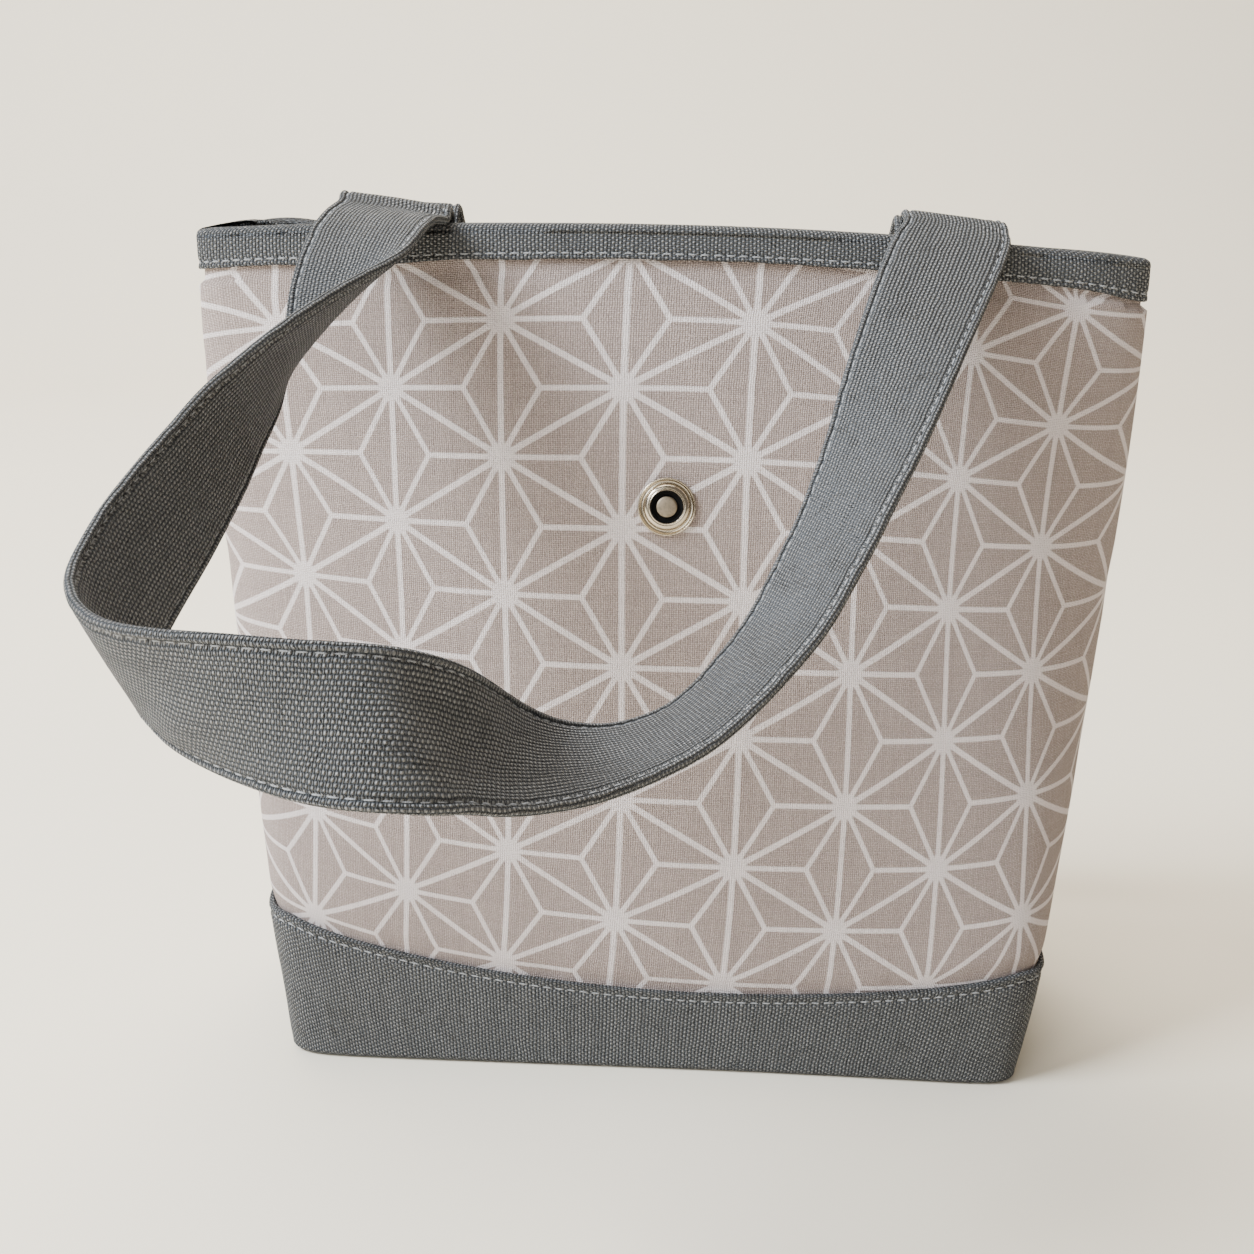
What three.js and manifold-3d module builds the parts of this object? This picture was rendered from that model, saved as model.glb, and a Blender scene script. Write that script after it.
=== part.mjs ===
// A small cloth lunch bag: quilted print panels over a canvas base, a bound rim, two canvas
// handles, and a closing tab with a press snap. Millimetres, +Z up, the front faces -Y.
// The origin is the middle of the underside.
import * as THREE from "three";
import { mergeVertices } from "three/addons/utils/BufferGeometryUtils.js";
import Module from "manifold-3d";

// The bag's outer size
const bagHeight = 224; // floor to the top of the front rim, at its middle
const mouthWidth = 253; // over the rim, side seam to side seam
const mouthDepth = 32; // over the rim, front to back, with the mouth nearly closed
const baseWidth = 199.4; // the boxed base at half its depth
const baseDepth = 92;
const sideSwell = 6; // how far the sides swell past a straight flare
const faceSwell = 2; // how far the faces swell past their curve
const faceCurve = 2.1; // power of the curve that leans the faces back
const baseSquareness = 14; // added to the section's power at the floor
const squareFade = 5; // how fast that fades with height
const rimEndDrop = 6.5; // the rim is this much lower at the side seams
const backRimDip = 6; // the slack back rim dips this much more in the middle
const baseCornerRadius = 4; // where the base turns up into the walls

// The cloth layers, from the outside in
const layerGap = 0.3;
const coverGap = 0.5; // under the canvas base and the binding, which lie over the other layers
const canvasThick = 1.1;
const printThick = 0.8;
const paddingThick = 2;
const liningThick = 0.5;
const boardThick = 1.5;

// Seams
const seamHeightMiddle = 24; // top of the canvas base on the front and back
const seamHeightSide = 36; // and at the side seams
const seamLap = 10; // the print runs on under the canvas
const bindingHeight = 9.5;
const seamFinWidth = 7; // the bound seam allowance inside each side seam
const seamFinThick = 1.2;
const seamFinLift = 3; // it starts this far over the floor lining
const floorInset = 1.2; // the floor lining stops this far inside the walls' lining

// The handles
const strapWidth = 29;
const strapThick = 2.4;
const handleSpacing = 145; // between the middles of a handle's two ends
const strapEndLength = 32; // sewn down inside, below the rim
const foldPast = 30; // degrees past the top of the fold where the loose strap starts
const frontFoldRise = 0.3; // height of the fold's centre over the rim
const backFoldRise = 0.3;
const frontFoldSlack = 0.3; // room between the strap and the rim on the outside
const backFoldSlack = 0.3;
const leadOut = 2.5; // the loose strap runs straight on from the fold for this far
const sewnGap = 0.5; // between a sewn end and the binding behind it

// The closing tab, which hangs behind the back rim
const tabWidth = 34;
const tabThick = 1.6;
const tabLean = 16; // degrees, hanging down the back panel
const tabRootLength = 28;
const tabPivotRise = 2; // over the back rim
const tabRootDrop = 2.2; // from the fold down to the sewn end
const tabFoldGap = 0.4; // between the two layers of the folded tab
const flapFoldSlack = 0.15; // the flap's fold line stands this far off the cloth's face
const flapReach = 76; // from the flap's fold down to its snap
const flapEnd = 13; // from the snap to the flap's end
const flapStand = 3.6; // the closed flap's inner face over the front panel

// The press snap
const snapHeight = 154; // its middle over the floor
const snapRadius = 7.5;
const snapSpan = 2; // the cloth's lean is taken over this height
const snapFlange = 0.5;
const snapDomeOuter = 6.2;
const snapDomeInner = 4.3;
const snapDomeHeight = 2.3;
const snapDomeRound = 0.6; // half the width of the dome's rounded top
const snapEdgeDrop = 0.2; // and how far its edges are under the top
const snapInnerDrop = 0.5; // the dome's inner edge is this far under its top
const snapSeatDrop = 0.6; // and the black seat's edge this far
const snapSeatWall = 0.25;
const snapPostRadius = 2.7;
const snapPostTop = 1.9;
const shankRadius = 1.3;
const backPlateRadius = 6.5;
const backPlateThick = 0.6;
const patchRadius = 9;
const patchThick = 0.5;
const pocketRoom = 0.6; // around the patch, in the padding
const collarWall = 0.35;
const collarFlangeRadius = 6;
const collarTall = 2.1;
const capDome = 1.2;

// How finely the curves are cut
const panelColumns = 24; // round one half of the bag
const panelRows = 10; // the same heights in every layer, so that the layers' facets stay parallel
const rowLeast = 0.03; // of the height, between the lowest rows
const ringSides = 2 * panelColumns;
const strapSteps = 3; // between two stations
const latheSides = 24;

// The loose front handle, from the right end to the left one. Each row is the strap's middle from
// the end of the fold, and the way across it from the inner edge to the outer one, in strap widths.
const frontStations = [
  [69, -9.5, -7.5, 1.02, -0.07, -0.07],
  [61, -29.5, -22.5, 0.89, -0.44, -0.2],
  [49.5, -55.5, -47.5, 0.72, -0.79, -0.1],
  [38.5, -77.5, -67.5, 0.56, -0.96, -0.01],
  [19, -109, -89.5, 0.34, -1.13, 0.06],
  [-0.5, -133, -98, 0.17, -1.3, 0.04],
  [-17, -151.5, -96.5, 0.03, -1.39, -0.1],
  [-29.5, -168.5, -88, -0.12, -1.2, -0.39],
  [-37, -179.5, -81.5, -0.14, -0.8, -0.7],
  [-44, -185.5, -78.5, -0.14, -0.52, -0.86],
  [-61, -186, -77, -0.13, -0.12, -1],
  [-84.5, -172.5, -78, 0.01, 0.36, -0.96],
  [-99, -160, -77.5, 0.19, 0.52, -0.86],
  [-106.5, -148.5, -75.5, 0.37, 0.29, -0.89],
  [-107.5, -138, -71.5, 0.38, 0.07, -0.97],
  [-102.5, -112.5, -58.5, 0.36, 0.42, -0.84],
  [-95.5, -82, -43, 0.14, 0.82, -0.71],
  [-88, -56.5, -30, -0.35, 0.58, -0.74],
  [-81, -42.5, -24, -0.86, -0.1, -0.89],
  [-79, -35.5, -18, -1.02, -0.2, -0.62],
  [-76.5, -21.5, -6.5, -1.03, -0.04, -0.11],
  [-74.5, -11, -3, -1.02, 0, 0],
];

// Half of the loose back handle, from its right end to the middle of the loop. The other half
// mirrors it.
const backStations = [
  [71.5, 13.5, -14, 1, 0, 0.01],
  [68.5, 30.5, -50, 1, 0.04, -0.07],
  [66, 40.5, -90, 0.97, 0.22, -0.07],
  [63, 48.5, -126, 0.86, 0.5, -0.08],
  [57.5, 56.5, -158.5, 0.6, 0.79, -0.03],
  [46.5, 64, -184.5, 0.35, 0.93, 0.07],
  [30, 70.5, -202.5, 0.17, 0.96, 0.2],
  [13, 73, -210.5, 0.07, 0.98, 0.2],
  [0, 73.5, -212.5, 0, 0.98, 0.19],
];

const canvasColor = { color: 0x6d7781, roughness: 0.9, metalness: 0 };
const printColor = { color: 0xb7aea9, roughness: 0.88, metalness: 0 };
const liningColor = { color: 0xd6d2cb, roughness: 0.85, metalness: 0 };
const paddingColor = { color: 0xe6e4de, roughness: 0.95, metalness: 0 };
const boardColor = { color: 0x8f8a80, roughness: 0.7, metalness: 0 };
const nickelColor = { color: 0xb9b5ab, roughness: 0.25, metalness: 1 };
const seatColor = { color: 0x17181a, roughness: 0.5, metalness: 0.2 };
const postColor = { color: 0x9a9b98, roughness: 0.55, metalness: 0.9 };

const wasm = await Module();
wasm.setup();

const bag = new THREE.Group();

function addPiece(name, geometry, look, parent = bag) {
  const mesh = new THREE.Mesh(geometry, new THREE.MeshStandardMaterial(look));
  mesh.name = name;
  parent.add(mesh);
  return mesh;
}

// Booleans
function toSolid(geometry) {
  const bare = geometry.clone();
  bare.deleteAttribute("normal");
  bare.deleteAttribute("uv");
  const merged = mergeVertices(bare, 1e-4);
  return new wasm.Manifold(
    new wasm.Mesh({
      numProp: 3,
      vertProperties: merged.attributes.position.array,
      triVerts: new Uint32Array(merged.index.array),
    }),
  );
}

function fromSolid(solid) {
  const mesh = solid.getMesh();
  const geometry = new THREE.BufferGeometry();
  geometry.setAttribute("position", new THREE.BufferAttribute(mesh.vertProperties, 3));
  geometry.setIndex(new THREE.BufferAttribute(mesh.triVerts, 1));
  return geometry.toNonIndexed();
}

// Rings of equal length joined into one closed skin: a tube bent into a loop when joined is true,
// else closed at each end by a fan to that end's pole or to the ring's own middle.
function loftGeometry(rings, { joined = false, firstPole, lastPole } = {}) {
  const corners = [];
  const sides = rings[0].length;
  const spans = joined ? rings.length : rings.length - 1;
  for (let i = 0; i < spans; i++) {
    const low = rings[i];
    const high = rings[(i + 1) % rings.length];
    for (let j = 0; j < sides; j++) {
      const k = (j + 1) % sides;
      corners.push(low[j], low[k], high[k], low[j], high[k], high[j]);
    }
  }
  const middle = (ring) => ring.reduce((sum, p) => sum.add(p), new THREE.Vector3()).divideScalar(sides);
  if (!joined) {
    const first = rings[0];
    const last = rings[rings.length - 1];
    const start = firstPole ?? middle(first);
    const end = lastPole ?? middle(last);
    for (let j = 0; j < sides; j++) {
      const k = (j + 1) % sides;
      corners.push(start, first[k], first[j], end, last[j], last[k]);
    }
  }
  return new THREE.BufferGeometry().setFromPoints(corners);
}

// The bag's outer form. A share of 0 is the floor and 1 the rim; a depth is measured in from the
// print cloth's face, and is negative outside it.
const canvasProud = canvasThick + coverGap;

function sectionAt(share) {
  const straight = (base, top) => base + (top - base) * share;
  const swell = 4 * share * (1 - share);
  const topDepth = mouthDepth / 2 - canvasProud;
  const lean = 1 - share ** faceCurve;
  return {
    halfWidth: straight(baseWidth / 2 - canvasProud, mouthWidth / 2 - canvasProud) + sideSwell * swell,
    halfDepth: topDepth + (baseDepth / 2 - canvasProud - topDepth) * lean + faceSwell * swell,
    power: 2 + baseSquareness * Math.max(0, 1 - share) ** squareFade,
  };
}

function rimHeightAt(x, back) {
  const out = Math.min(1, Math.abs(x) / (mouthWidth / 2)) ** 2;
  const dip = back ? backRimDip * (1 - out) ** 2 : 0;
  return bagHeight - canvasProud - rimEndDrop * out - dip;
}

// The section at one depth. It ends early where the front and back close on each other.
function insetSection(share, depth) {
  const { halfWidth, halfDepth, power } = sectionAt(share);
  const pinch = Math.sqrt(Math.max(0, 1 - (depth / halfDepth) ** 2));
  return { halfWidth: halfWidth * pinch - depth, halfDepth: halfDepth - depth, power };
}

// Angle 0 is the right side seam, a quarter turn the middle of the back.
function wallPoint(angle, share, depth) {
  const { halfWidth, halfDepth, power } = insetSection(share, depth);
  const out = Math.cos(angle);
  const side = Math.sign(Math.sin(angle));
  const x = halfWidth * out;
  const y = side * halfDepth * Math.max(0, 1 - Math.abs(out) ** power) ** (1 / power);
  return new THREE.Vector3(x, y, share * rimHeightAt(x, side > 0));
}

// The share at which a wall point is at a height, where the height may depend on x
function shareOfHeight(angle, depth, heightAtX) {
  let share = 0.1;
  for (let pass = 0; pass < 6; pass++) {
    const p = wallPoint(angle, share, depth);
    share = heightAtX(p.x) / rimHeightAt(p.x, p.y > 0);
  }
  return share;
}

// How far the wall's surface at a depth is from the middle plane, at one x and height
function halfDepthAt(x, z, depth, back = false) {
  const { halfWidth, halfDepth, power } = insetSection(z / rimHeightAt(x, back), depth);
  return halfDepth * Math.max(0, 1 - (Math.abs(x) / halfWidth) ** power) ** (1 / power);
}

const seamHeightAt = (x) => {
  const out = Math.min(1, Math.abs(x) / (baseWidth / 2)) ** 2;
  return seamHeightMiddle + (seamHeightSide - seamHeightMiddle) * out;
};

// The layers' depths, each worked out from the one outside it
const paddingOuter = printThick + layerGap;
const paddingInner = paddingOuter + paddingThick;
const liningOuter = paddingInner + layerGap;
const liningInner = liningOuter + liningThick;
const bindingInsideOuter = liningInner + coverGap;
const bindingInsideInner = bindingInsideOuter + canvasThick;
const basePaddingLow = canvasThick + layerGap;
const boardLow = basePaddingLow + paddingThick + layerGap;
const baseLiningLow = boardLow + boardThick + layerGap;
const seamFinLow = baseLiningLow + liningThick + seamFinLift;

// One half of the bag's wall in one layer, front or back, from a lower edge to the rim
function halfWallGeometry(back, outer, inner, lowHeightAtX) {
  const side = back ? 1 : -1;
  const pointAt = (i, j, depth) => {
    const angle = (side * Math.PI * j) / panelColumns;
    const low = shareOfHeight(angle, depth, lowHeightAtX);
    const share = Math.max(low + i * rowLeast, i / panelRows);
    const p = wallPoint(angle, share, depth);
    if (j === 0 || j === panelColumns) p.y = (side * layerGap) / 2;
    return p;
  };
  const rings = [];
  for (let j = 0; j <= panelColumns; j++) {
    const ring = [];
    for (let i = 0; i <= panelRows; i++) ring.push(pointAt(i, j, outer));
    for (let i = panelRows; i >= 0; i--) ring.push(pointAt(i, j, inner));
    rings.push(side > 0 ? ring : ring.reverse());
  }
  return sheetGeometry(rings);
}

// A loft of long thin rings that go up one face and down the other. Both faces are cut along the
// same diagonals, and each end is closed by quads across its two rows.
function sheetGeometry(rings) {
  const corners = [];
  const sides = rings[0].length;
  for (let i = 0; i < rings.length - 1; i++) {
    for (let j = 0; j < sides; j++) {
      const k = (j + 1) % sides;
      const quad = [rings[i][j], rings[i + 1][j], rings[i + 1][k], rings[i][k]];
      const order = j < sides / 2 ? [0, 1, 2, 0, 2, 3] : [0, 1, 3, 1, 2, 3];
      corners.push(...order.map((n) => quad[n]));
    }
  }
  const closeEnd = (ring, flip) => {
    for (let j = 0; j < sides / 2 - 1; j++) {
      const quad = [ring[j], ring[j + 1], ring[sides - 2 - j], ring[sides - 1 - j]];
      const order = flip ? [0, 2, 1, 0, 3, 2] : [0, 1, 2, 0, 2, 3];
      corners.push(...order.map((n) => quad[n]));
    }
  };
  closeEnd(rings[0], false);
  closeEnd(rings[rings.length - 1], true);
  return new THREE.BufferGeometry().setFromPoints(corners);
}

function addWalls() {
  const onPadding = () => boardLow;
  const onBoard = () => baseLiningLow;
  const underSeam = (x) => seamHeightAt(x) - seamLap;
  const frontPanel = toSolid(halfWallGeometry(false, 0, printThick, underSeam));
  const frontPadding = toSolid(halfWallGeometry(false, paddingOuter, paddingInner, onPadding));
  addPiece("front_panel", fromSolid(frontPanel.subtract(snapCutter(shankRadius + layerGap))), printColor);
  addPiece("back_panel", halfWallGeometry(true, 0, printThick, underSeam), printColor);
  const pocket = snapCutter(patchRadius + pocketRoom);
  addPiece("front_padding", fromSolid(frontPadding.subtract(pocket)), paddingColor);
  addPiece("back_padding", halfWallGeometry(true, paddingOuter, paddingInner, onPadding), paddingColor);
  addPiece("front_lining", halfWallGeometry(false, liningOuter, liningInner, onBoard), liningColor);
  addPiece("back_lining", halfWallGeometry(true, liningOuter, liningInner, onBoard), liningColor);
}

// The canvas base: a boxed cup whose upper edge follows the curved seam
function baseCoverGeometry() {
  const cupRing = (depth, shareAtAngle) => {
    const ring = [];
    for (let j = 0; j < ringSides; j++) {
      const angle = (2 * Math.PI * j) / ringSides;
      ring.push(wallPoint(angle, shareAtAngle(angle), depth));
    }
    return ring;
  };
  const cornerRings = (face, radius, low) => {
    const rings = [];
    for (const turn of [90, 60, 30]) {
      const a = THREE.MathUtils.degToRad(turn);
      const depth = face + radius * (1 - Math.cos(a));
      const ring = cupRing(depth, () => 0);
      ring.forEach((p) => (p.z = low + radius * (1 - Math.sin(a))));
      rings.push(ring);
    }
    return rings;
  };
  const wallRings = (depth, low) => {
    const rings = [];
    for (const part of [0, 0.3, 0.65, 1]) {
      rings.push(
        cupRing(depth, (angle) => {
          const start = shareOfHeight(angle, depth, () => low);
          return start + (shareOfHeight(angle, depth, seamHeightAt) - start) * part;
        }),
      );
    }
    return rings;
  };
  const outerFace = -canvasProud;
  const innerFace = -coverGap;
  const innerRadius = baseCornerRadius - canvasThick;
  const outer = [...cornerRings(outerFace, baseCornerRadius, 0), ...wallRings(outerFace, baseCornerRadius)];
  const inner = [
    ...cornerRings(innerFace, innerRadius, canvasThick),
    ...wallRings(innerFace, baseCornerRadius),
  ];
  return loftGeometry([...outer, ...inner.reverse()], {
    firstPole: new THREE.Vector3(0, 0, 0),
    lastPole: new THREE.Vector3(0, 0, canvasThick),
  });
}

// A flat sheet inside the base
function basePlateGeometry(depth, thick, low) {
  const ringAt = (z) => {
    const ring = [];
    for (let j = 0; j < ringSides; j++) ring.push(wallPoint((2 * Math.PI * j) / ringSides, 0, depth).setZ(z));
    return ring;
  };
  return loftGeometry([ringAt(low), ringAt(low + thick)]);
}

function addBase() {
  addPiece("base_cover", baseCoverGeometry(), canvasColor);
  addPiece("base_padding", basePlateGeometry(paddingInner, paddingThick, basePaddingLow), paddingColor);
  addPiece("base_board", basePlateGeometry(liningOuter, boardThick, boardLow), boardColor);
  const floorDepth = liningInner + floorInset;
  addPiece("base_lining", basePlateGeometry(floorDepth, liningThick, baseLiningLow), liningColor);
}

// The rim binding: one canvas strip folded over the raw edges all the way round the mouth
function addBinding() {
  const rings = [];
  for (let j = 0; j < ringSides; j++) {
    const angle = (2 * Math.PI * j) / ringSides;
    const corner = (depth, up) => {
      const below = Math.min(0, up);
      const top = wallPoint(angle, 1, depth);
      const rim = rimHeightAt(top.x, top.y > 0);
      const p = wallPoint(angle, 1 + below / rim, depth);
      p.z += Math.max(0, up);
      return p;
    };
    const foot = canvasProud - bindingHeight;
    rings.push([
      corner(-coverGap, foot),
      corner(-coverGap, coverGap),
      corner(bindingInsideOuter, coverGap),
      corner(bindingInsideOuter, foot),
      corner(bindingInsideInner, foot),
      corner(bindingInsideInner, canvasProud),
      corner(-canvasProud, canvasProud),
      corner(-canvasProud, foot),
    ]);
  }
  addPiece("rim_binding", loftGeometry(rings, { joined: true }), canvasColor);
}

// The bound seam allowance that stands inside each side seam
function addSeamFins() {
  const top = bagHeight - rimEndDrop - bindingHeight - 2 * canvasProud;
  const rows = 8;
  for (const [name, side] of [
    ["right_seam_binding", 1],
    ["left_seam_binding", -1],
  ]) {
    const rings = [];
    for (let i = 0; i <= rows; i++) {
      const z = seamFinLow + ((top - seamFinLow) * i) / rows;
      const share = z / rimHeightAt(mouthWidth / 2, false);
      const out = insetSection(share, liningInner).halfWidth - seamFinThick;
      const half = seamFinThick / 2;
      const ring = [
        new THREE.Vector3(side * (out - seamFinWidth), -half, z),
        new THREE.Vector3(side * out, -half, z),
        new THREE.Vector3(side * out, half, z),
        new THREE.Vector3(side * (out - seamFinWidth), half, z),
      ];
      rings.push(side > 0 ? ring : ring.reverse());
    }
    addPiece(name, loftGeometry(rings), liningColor);
  }
}

// A strip of cloth seen from its edge: a path in (y, z), thickened and drawn out along X
function edgewiseStrip(path, thick, width, middleX) {
  const left = [];
  const right = [];
  path.forEach((p, i) => {
    const a = path[Math.max(0, i - 1)];
    const b = path[Math.min(path.length - 1, i + 1)];
    const along = b.clone().sub(a).normalize();
    const across = new THREE.Vector2(-along.y, along.x).multiplyScalar(thick / 2);
    left.push(p.clone().add(across));
    right.push(p.clone().sub(across));
  });
  const shape = new THREE.Shape([...left, ...right.reverse()]);
  const strip = new THREE.ExtrudeGeometry(shape, { depth: width, bevelEnabled: false });
  const toYz = new THREE.Matrix4().makeBasis(
    new THREE.Vector3(0, 1, 0),
    new THREE.Vector3(0, 0, 1),
    new THREE.Vector3(1, 0, 0),
  );
  return strip.applyMatrix4(toYz).translate(middleX - width / 2, 0, 0);
}

// Where a handle folds over the rim: the fold's centre and radius, and the middle of the cloth where
// the loose strap starts, under the fold line on its outer face. side is -1 for the front.
function foldOf(side, rise, slack) {
  const back = side > 0;
  const inX = (handleSpacing - strapWidth) / 2;
  const outX = (handleSpacing + strapWidth) / 2;
  const rim = rimHeightAt(handleSpacing / 2, back);
  const outerFace = halfDepthAt(inX, rim, -canvasProud, back) + slack;
  const innerFace = halfDepthAt(outX, rimHeightAt(outX, back), bindingInsideInner, back) - sewnGap;
  const half = strapThick / 2;
  const radius = (outerFace - innerFace) / 2 + half;
  const centre = new THREE.Vector2((side * (outerFace + innerFace)) / 2, rim + canvasProud + rise);
  const past = THREE.MathUtils.degToRad(foldPast);
  const radial = new THREE.Vector2(side * Math.sin(past), Math.cos(past));
  const start = centre.clone().addScaledVector(radial, radius);
  const foldLine = centre.clone().addScaledVector(radial, radius + half);
  return { side, back, radius, centre, start, foldLine, innerFace };
}

// The sewn end of a handle: down the lining, up over the binding and round the fold
function strapEndGeometry(fold, middleX) {
  const { side, back, radius, centre, innerFace } = fold;
  const half = strapThick / 2;
  const outX = Math.abs(middleX) + strapWidth / 2;
  const footZ = centre.y - strapEndLength;
  const foot = Math.min(halfDepthAt(outX, footZ, bindingInsideInner, back) - sewnGap, innerFace + radius) - half;
  const path = [new THREE.Vector2(side * foot, footZ), new THREE.Vector2(centre.x - side * radius, centre.y)];
  const stop = foldPast - THREE.MathUtils.radToDeg(layerGap / (radius - half));
  const steps = 8;
  for (let i = 1; i <= steps; i++) {
    const a = THREE.MathUtils.degToRad(-90 + ((90 + stop) * i) / steps);
    path.push(new THREE.Vector2(centre.x + side * radius * Math.sin(a), centre.y + radius * Math.cos(a)));
  }
  return edgewiseStrip(path, strapThick, strapWidth, middleX);
}

// The loose strap: a ribbon ruled between its two edges
function looseStrapGeometry(stations) {
  const middles = new THREE.CatmullRomCurve3(stations.map((s) => new THREE.Vector3(...s.slice(0, 3))));
  const acrosses = new THREE.CatmullRomCurve3(stations.map((s) => new THREE.Vector3(...s.slice(3, 6))));
  const steps = (stations.length - 1) * strapSteps;
  const edge = (t, side) => {
    const at = Math.min(1, Math.max(0, t));
    return middles.getPoint(at).addScaledVector(acrosses.getPoint(at), (side * strapWidth) / 2);
  };
  const half = strapThick / 2;
  const ringAt = (t) => {
    const step = 0.25 / steps;
    const across = acrosses.getPoint(t).normalize();
    const corners = [-1, 1].map((side) => {
      const along = edge(t + step, side).sub(edge(t - step, side)).normalize();
      const normal = along.clone().cross(across).normalize();
      const p = edge(t, side);
      return [p.clone().addScaledVector(normal, half), p.clone().addScaledVector(normal, -half)];
    });
    return [corners[0][1], corners[1][1], corners[1][0], corners[0][0]];
  };
  const rings = [];
  for (let i = 0; i <= steps; i++) rings.push(ringAt(i / steps));
  return loftGeometry(rings);
}

function addHandle(name, fold, listed) {
  const halfSpacing = handleSpacing / 2;
  const past = THREE.MathUtils.degToRad(foldPast);
  const leadY = fold.side * leadOut * Math.cos(past);
  const leadZ = -leadOut * Math.sin(past);
  const stations = [
    [halfSpacing, 0, 0, 1, 0, 0],
    [halfSpacing, leadY, leadZ, 1, 0, 0],
    ...listed,
    [-halfSpacing, leadY, leadZ, -1, 0, 0],
    [-halfSpacing, 0, 0, -1, 0, 0],
  ];
  const loose = new THREE.Group();
  loose.position.set(0, fold.start.x, fold.start.y);
  bag.add(loose);
  addPiece(name + "_handle", looseStrapGeometry(stations), canvasColor, loose);
  addPiece(name + "_handle_right_end", strapEndGeometry(fold, halfSpacing), canvasColor);
  addPiece(name + "_handle_left_end", strapEndGeometry(fold, -halfSpacing), canvasColor);
}

function addHandles() {
  addHandle("front", foldOf(-1, frontFoldRise, frontFoldSlack), frontStations);
  const mirrored = backStations
    .slice(0, -1)
    .reverse()
    .map(([x, y, z, ax, ay, az]) => [-x, y, z, -ax, ay, az]);
  addHandle("back", foldOf(1, backFoldRise, backFoldSlack), [...backStations, ...mirrored]);
}

// The snap's own frame: its middle on the front panel, and its axis out of the cloth
function snapFrame() {
  const low = halfDepthAt(0, snapHeight - snapSpan / 2, 0);
  const high = halfDepthAt(0, snapHeight + snapSpan / 2, 0);
  const lean = Math.atan2(low - high, snapSpan);
  return {
    lean,
    point: new THREE.Vector3(0, -halfDepthAt(0, snapHeight, 0), snapHeight),
    turn: new THREE.Matrix4().makeRotationX(Math.PI / 2 - lean),
  };
}

function snapCutter(radius) {
  const { point, turn } = snapFrame();
  const reach = 4 * paddingInner;
  const cutter = new THREE.CylinderGeometry(radius, radius, reach, latheSides);
  cutter.rotateX(Math.PI / 2).applyMatrix4(turn).translate(point.x, point.y, point.z);
  return toSolid(cutter);
}

// A turned piece: its outline is (radius, height) pairs, and its axis is +Z
function turned(outline, closed = false) {
  const points = outline.map(([r, h]) => new THREE.Vector2(r, h));
  if (closed) points.push(points[0].clone());
  return new THREE.LatheGeometry(points, latheSides).rotateX(Math.PI / 2);
}

function addFrontSnap() {
  const { point, turn } = snapFrame();
  const snap = new THREE.Group();
  snap.position.copy(point);
  snap.setRotationFromMatrix(turn);
  bag.add(snap);
  const low = layerGap;
  const domeMiddle = (snapDomeOuter + snapDomeInner) / 2;
  const cap = turned(
    [
      [snapDomeInner, low],
      [snapRadius, low],
      [snapRadius, low + snapFlange],
      [snapDomeOuter, low + snapFlange + snapEdgeDrop],
      [domeMiddle + snapDomeRound, snapDomeHeight - snapEdgeDrop],
      [domeMiddle, snapDomeHeight],
      [domeMiddle - snapDomeRound, snapDomeHeight - snapEdgeDrop],
      [snapDomeInner, snapDomeHeight - snapInnerDrop],
    ],
    true,
  );
  const seatOuter = snapDomeInner - layerGap;
  const seatFloor = low + snapFlange;
  const bore = shankRadius + layerGap;
  const seat = turned(
    [
      [bore, low],
      [seatOuter, low],
      [seatOuter, snapDomeHeight - snapSeatDrop],
      [seatOuter - snapSeatWall, snapDomeHeight - snapSeatDrop],
      [seatOuter - snapSeatWall, seatFloor],
      [bore, seatFloor],
    ],
    true,
  );
  const patchTop = -printThick - 2 * layerGap; // the panel curves away from the flat patch
  const plateTop = patchTop - patchThick - layerGap;
  const shankEnd = plateTop - backPlateThick;
  const post = turned([
    [0, shankEnd],
    [shankRadius, shankEnd],
    [shankRadius, seatFloor + layerGap],
    [snapPostRadius, seatFloor + layerGap],
    [snapPostRadius, snapPostTop - 0.15],
    [snapPostRadius - 0.15, snapPostTop],
    [0, snapPostTop],
  ]);
  const washer = (radius, top, thick) => [
    [bore, top - thick],
    [radius, top - thick],
    [radius, top],
    [bore, top],
  ];
  addPiece("front_snap_cap", cap, nickelColor, snap);
  addPiece("front_snap_seat", seat, seatColor, snap);
  addPiece("front_snap_post", post, postColor, snap);
  const patch = washer(patchRadius, patchTop, patchThick);
  const plate = washer(backPlateRadius, plateTop, backPlateThick);
  addPiece("front_snap_patch", turned(patch, true), canvasColor, snap);
  addPiece("front_snap_back_plate", turned(plate, true), nickelColor, snap);
}

// The closing tab hangs behind the bag. Its fold lines are set by where the closed flap must lie.
function tabLayout() {
  const hang = THREE.MathUtils.degToRad(tabLean);
  const down = new THREE.Vector2(Math.sin(hang), -Math.cos(hang));
  const outward = new THREE.Vector2(Math.cos(hang), Math.sin(hang));
  const offset = (tabThick + tabFoldGap) / 2; // from the fold line to the cloth's middle
  const flapFoldOut = offset + tabThick / 2 + flapFoldSlack;
  const rim = rimHeightAt(0, true);
  const pivot = new THREE.Vector2(halfDepthAt(0, rim, -canvasProud, true), rim + canvasProud)
    .addScaledVector(outward, layerGap + tabThick / 2 + offset)
    .addScaledVector(down, -tabPivotRise);
  const { point, lean } = snapFrame();
  const stand = flapStand - flapFoldSlack;
  const closedFold = new THREE.Vector2(
    point.y - stand * Math.cos(lean) + flapReach * Math.sin(lean),
    point.z + stand * Math.sin(lean) + flapReach * Math.cos(lean),
  );
  const bridgeLength = Math.sqrt(closedFold.distanceTo(pivot) ** 2 - flapFoldOut ** 2);
  return { hang, down, outward, offset, flapFoldOut, pivot, bridgeLength, closedFold };
}

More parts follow.
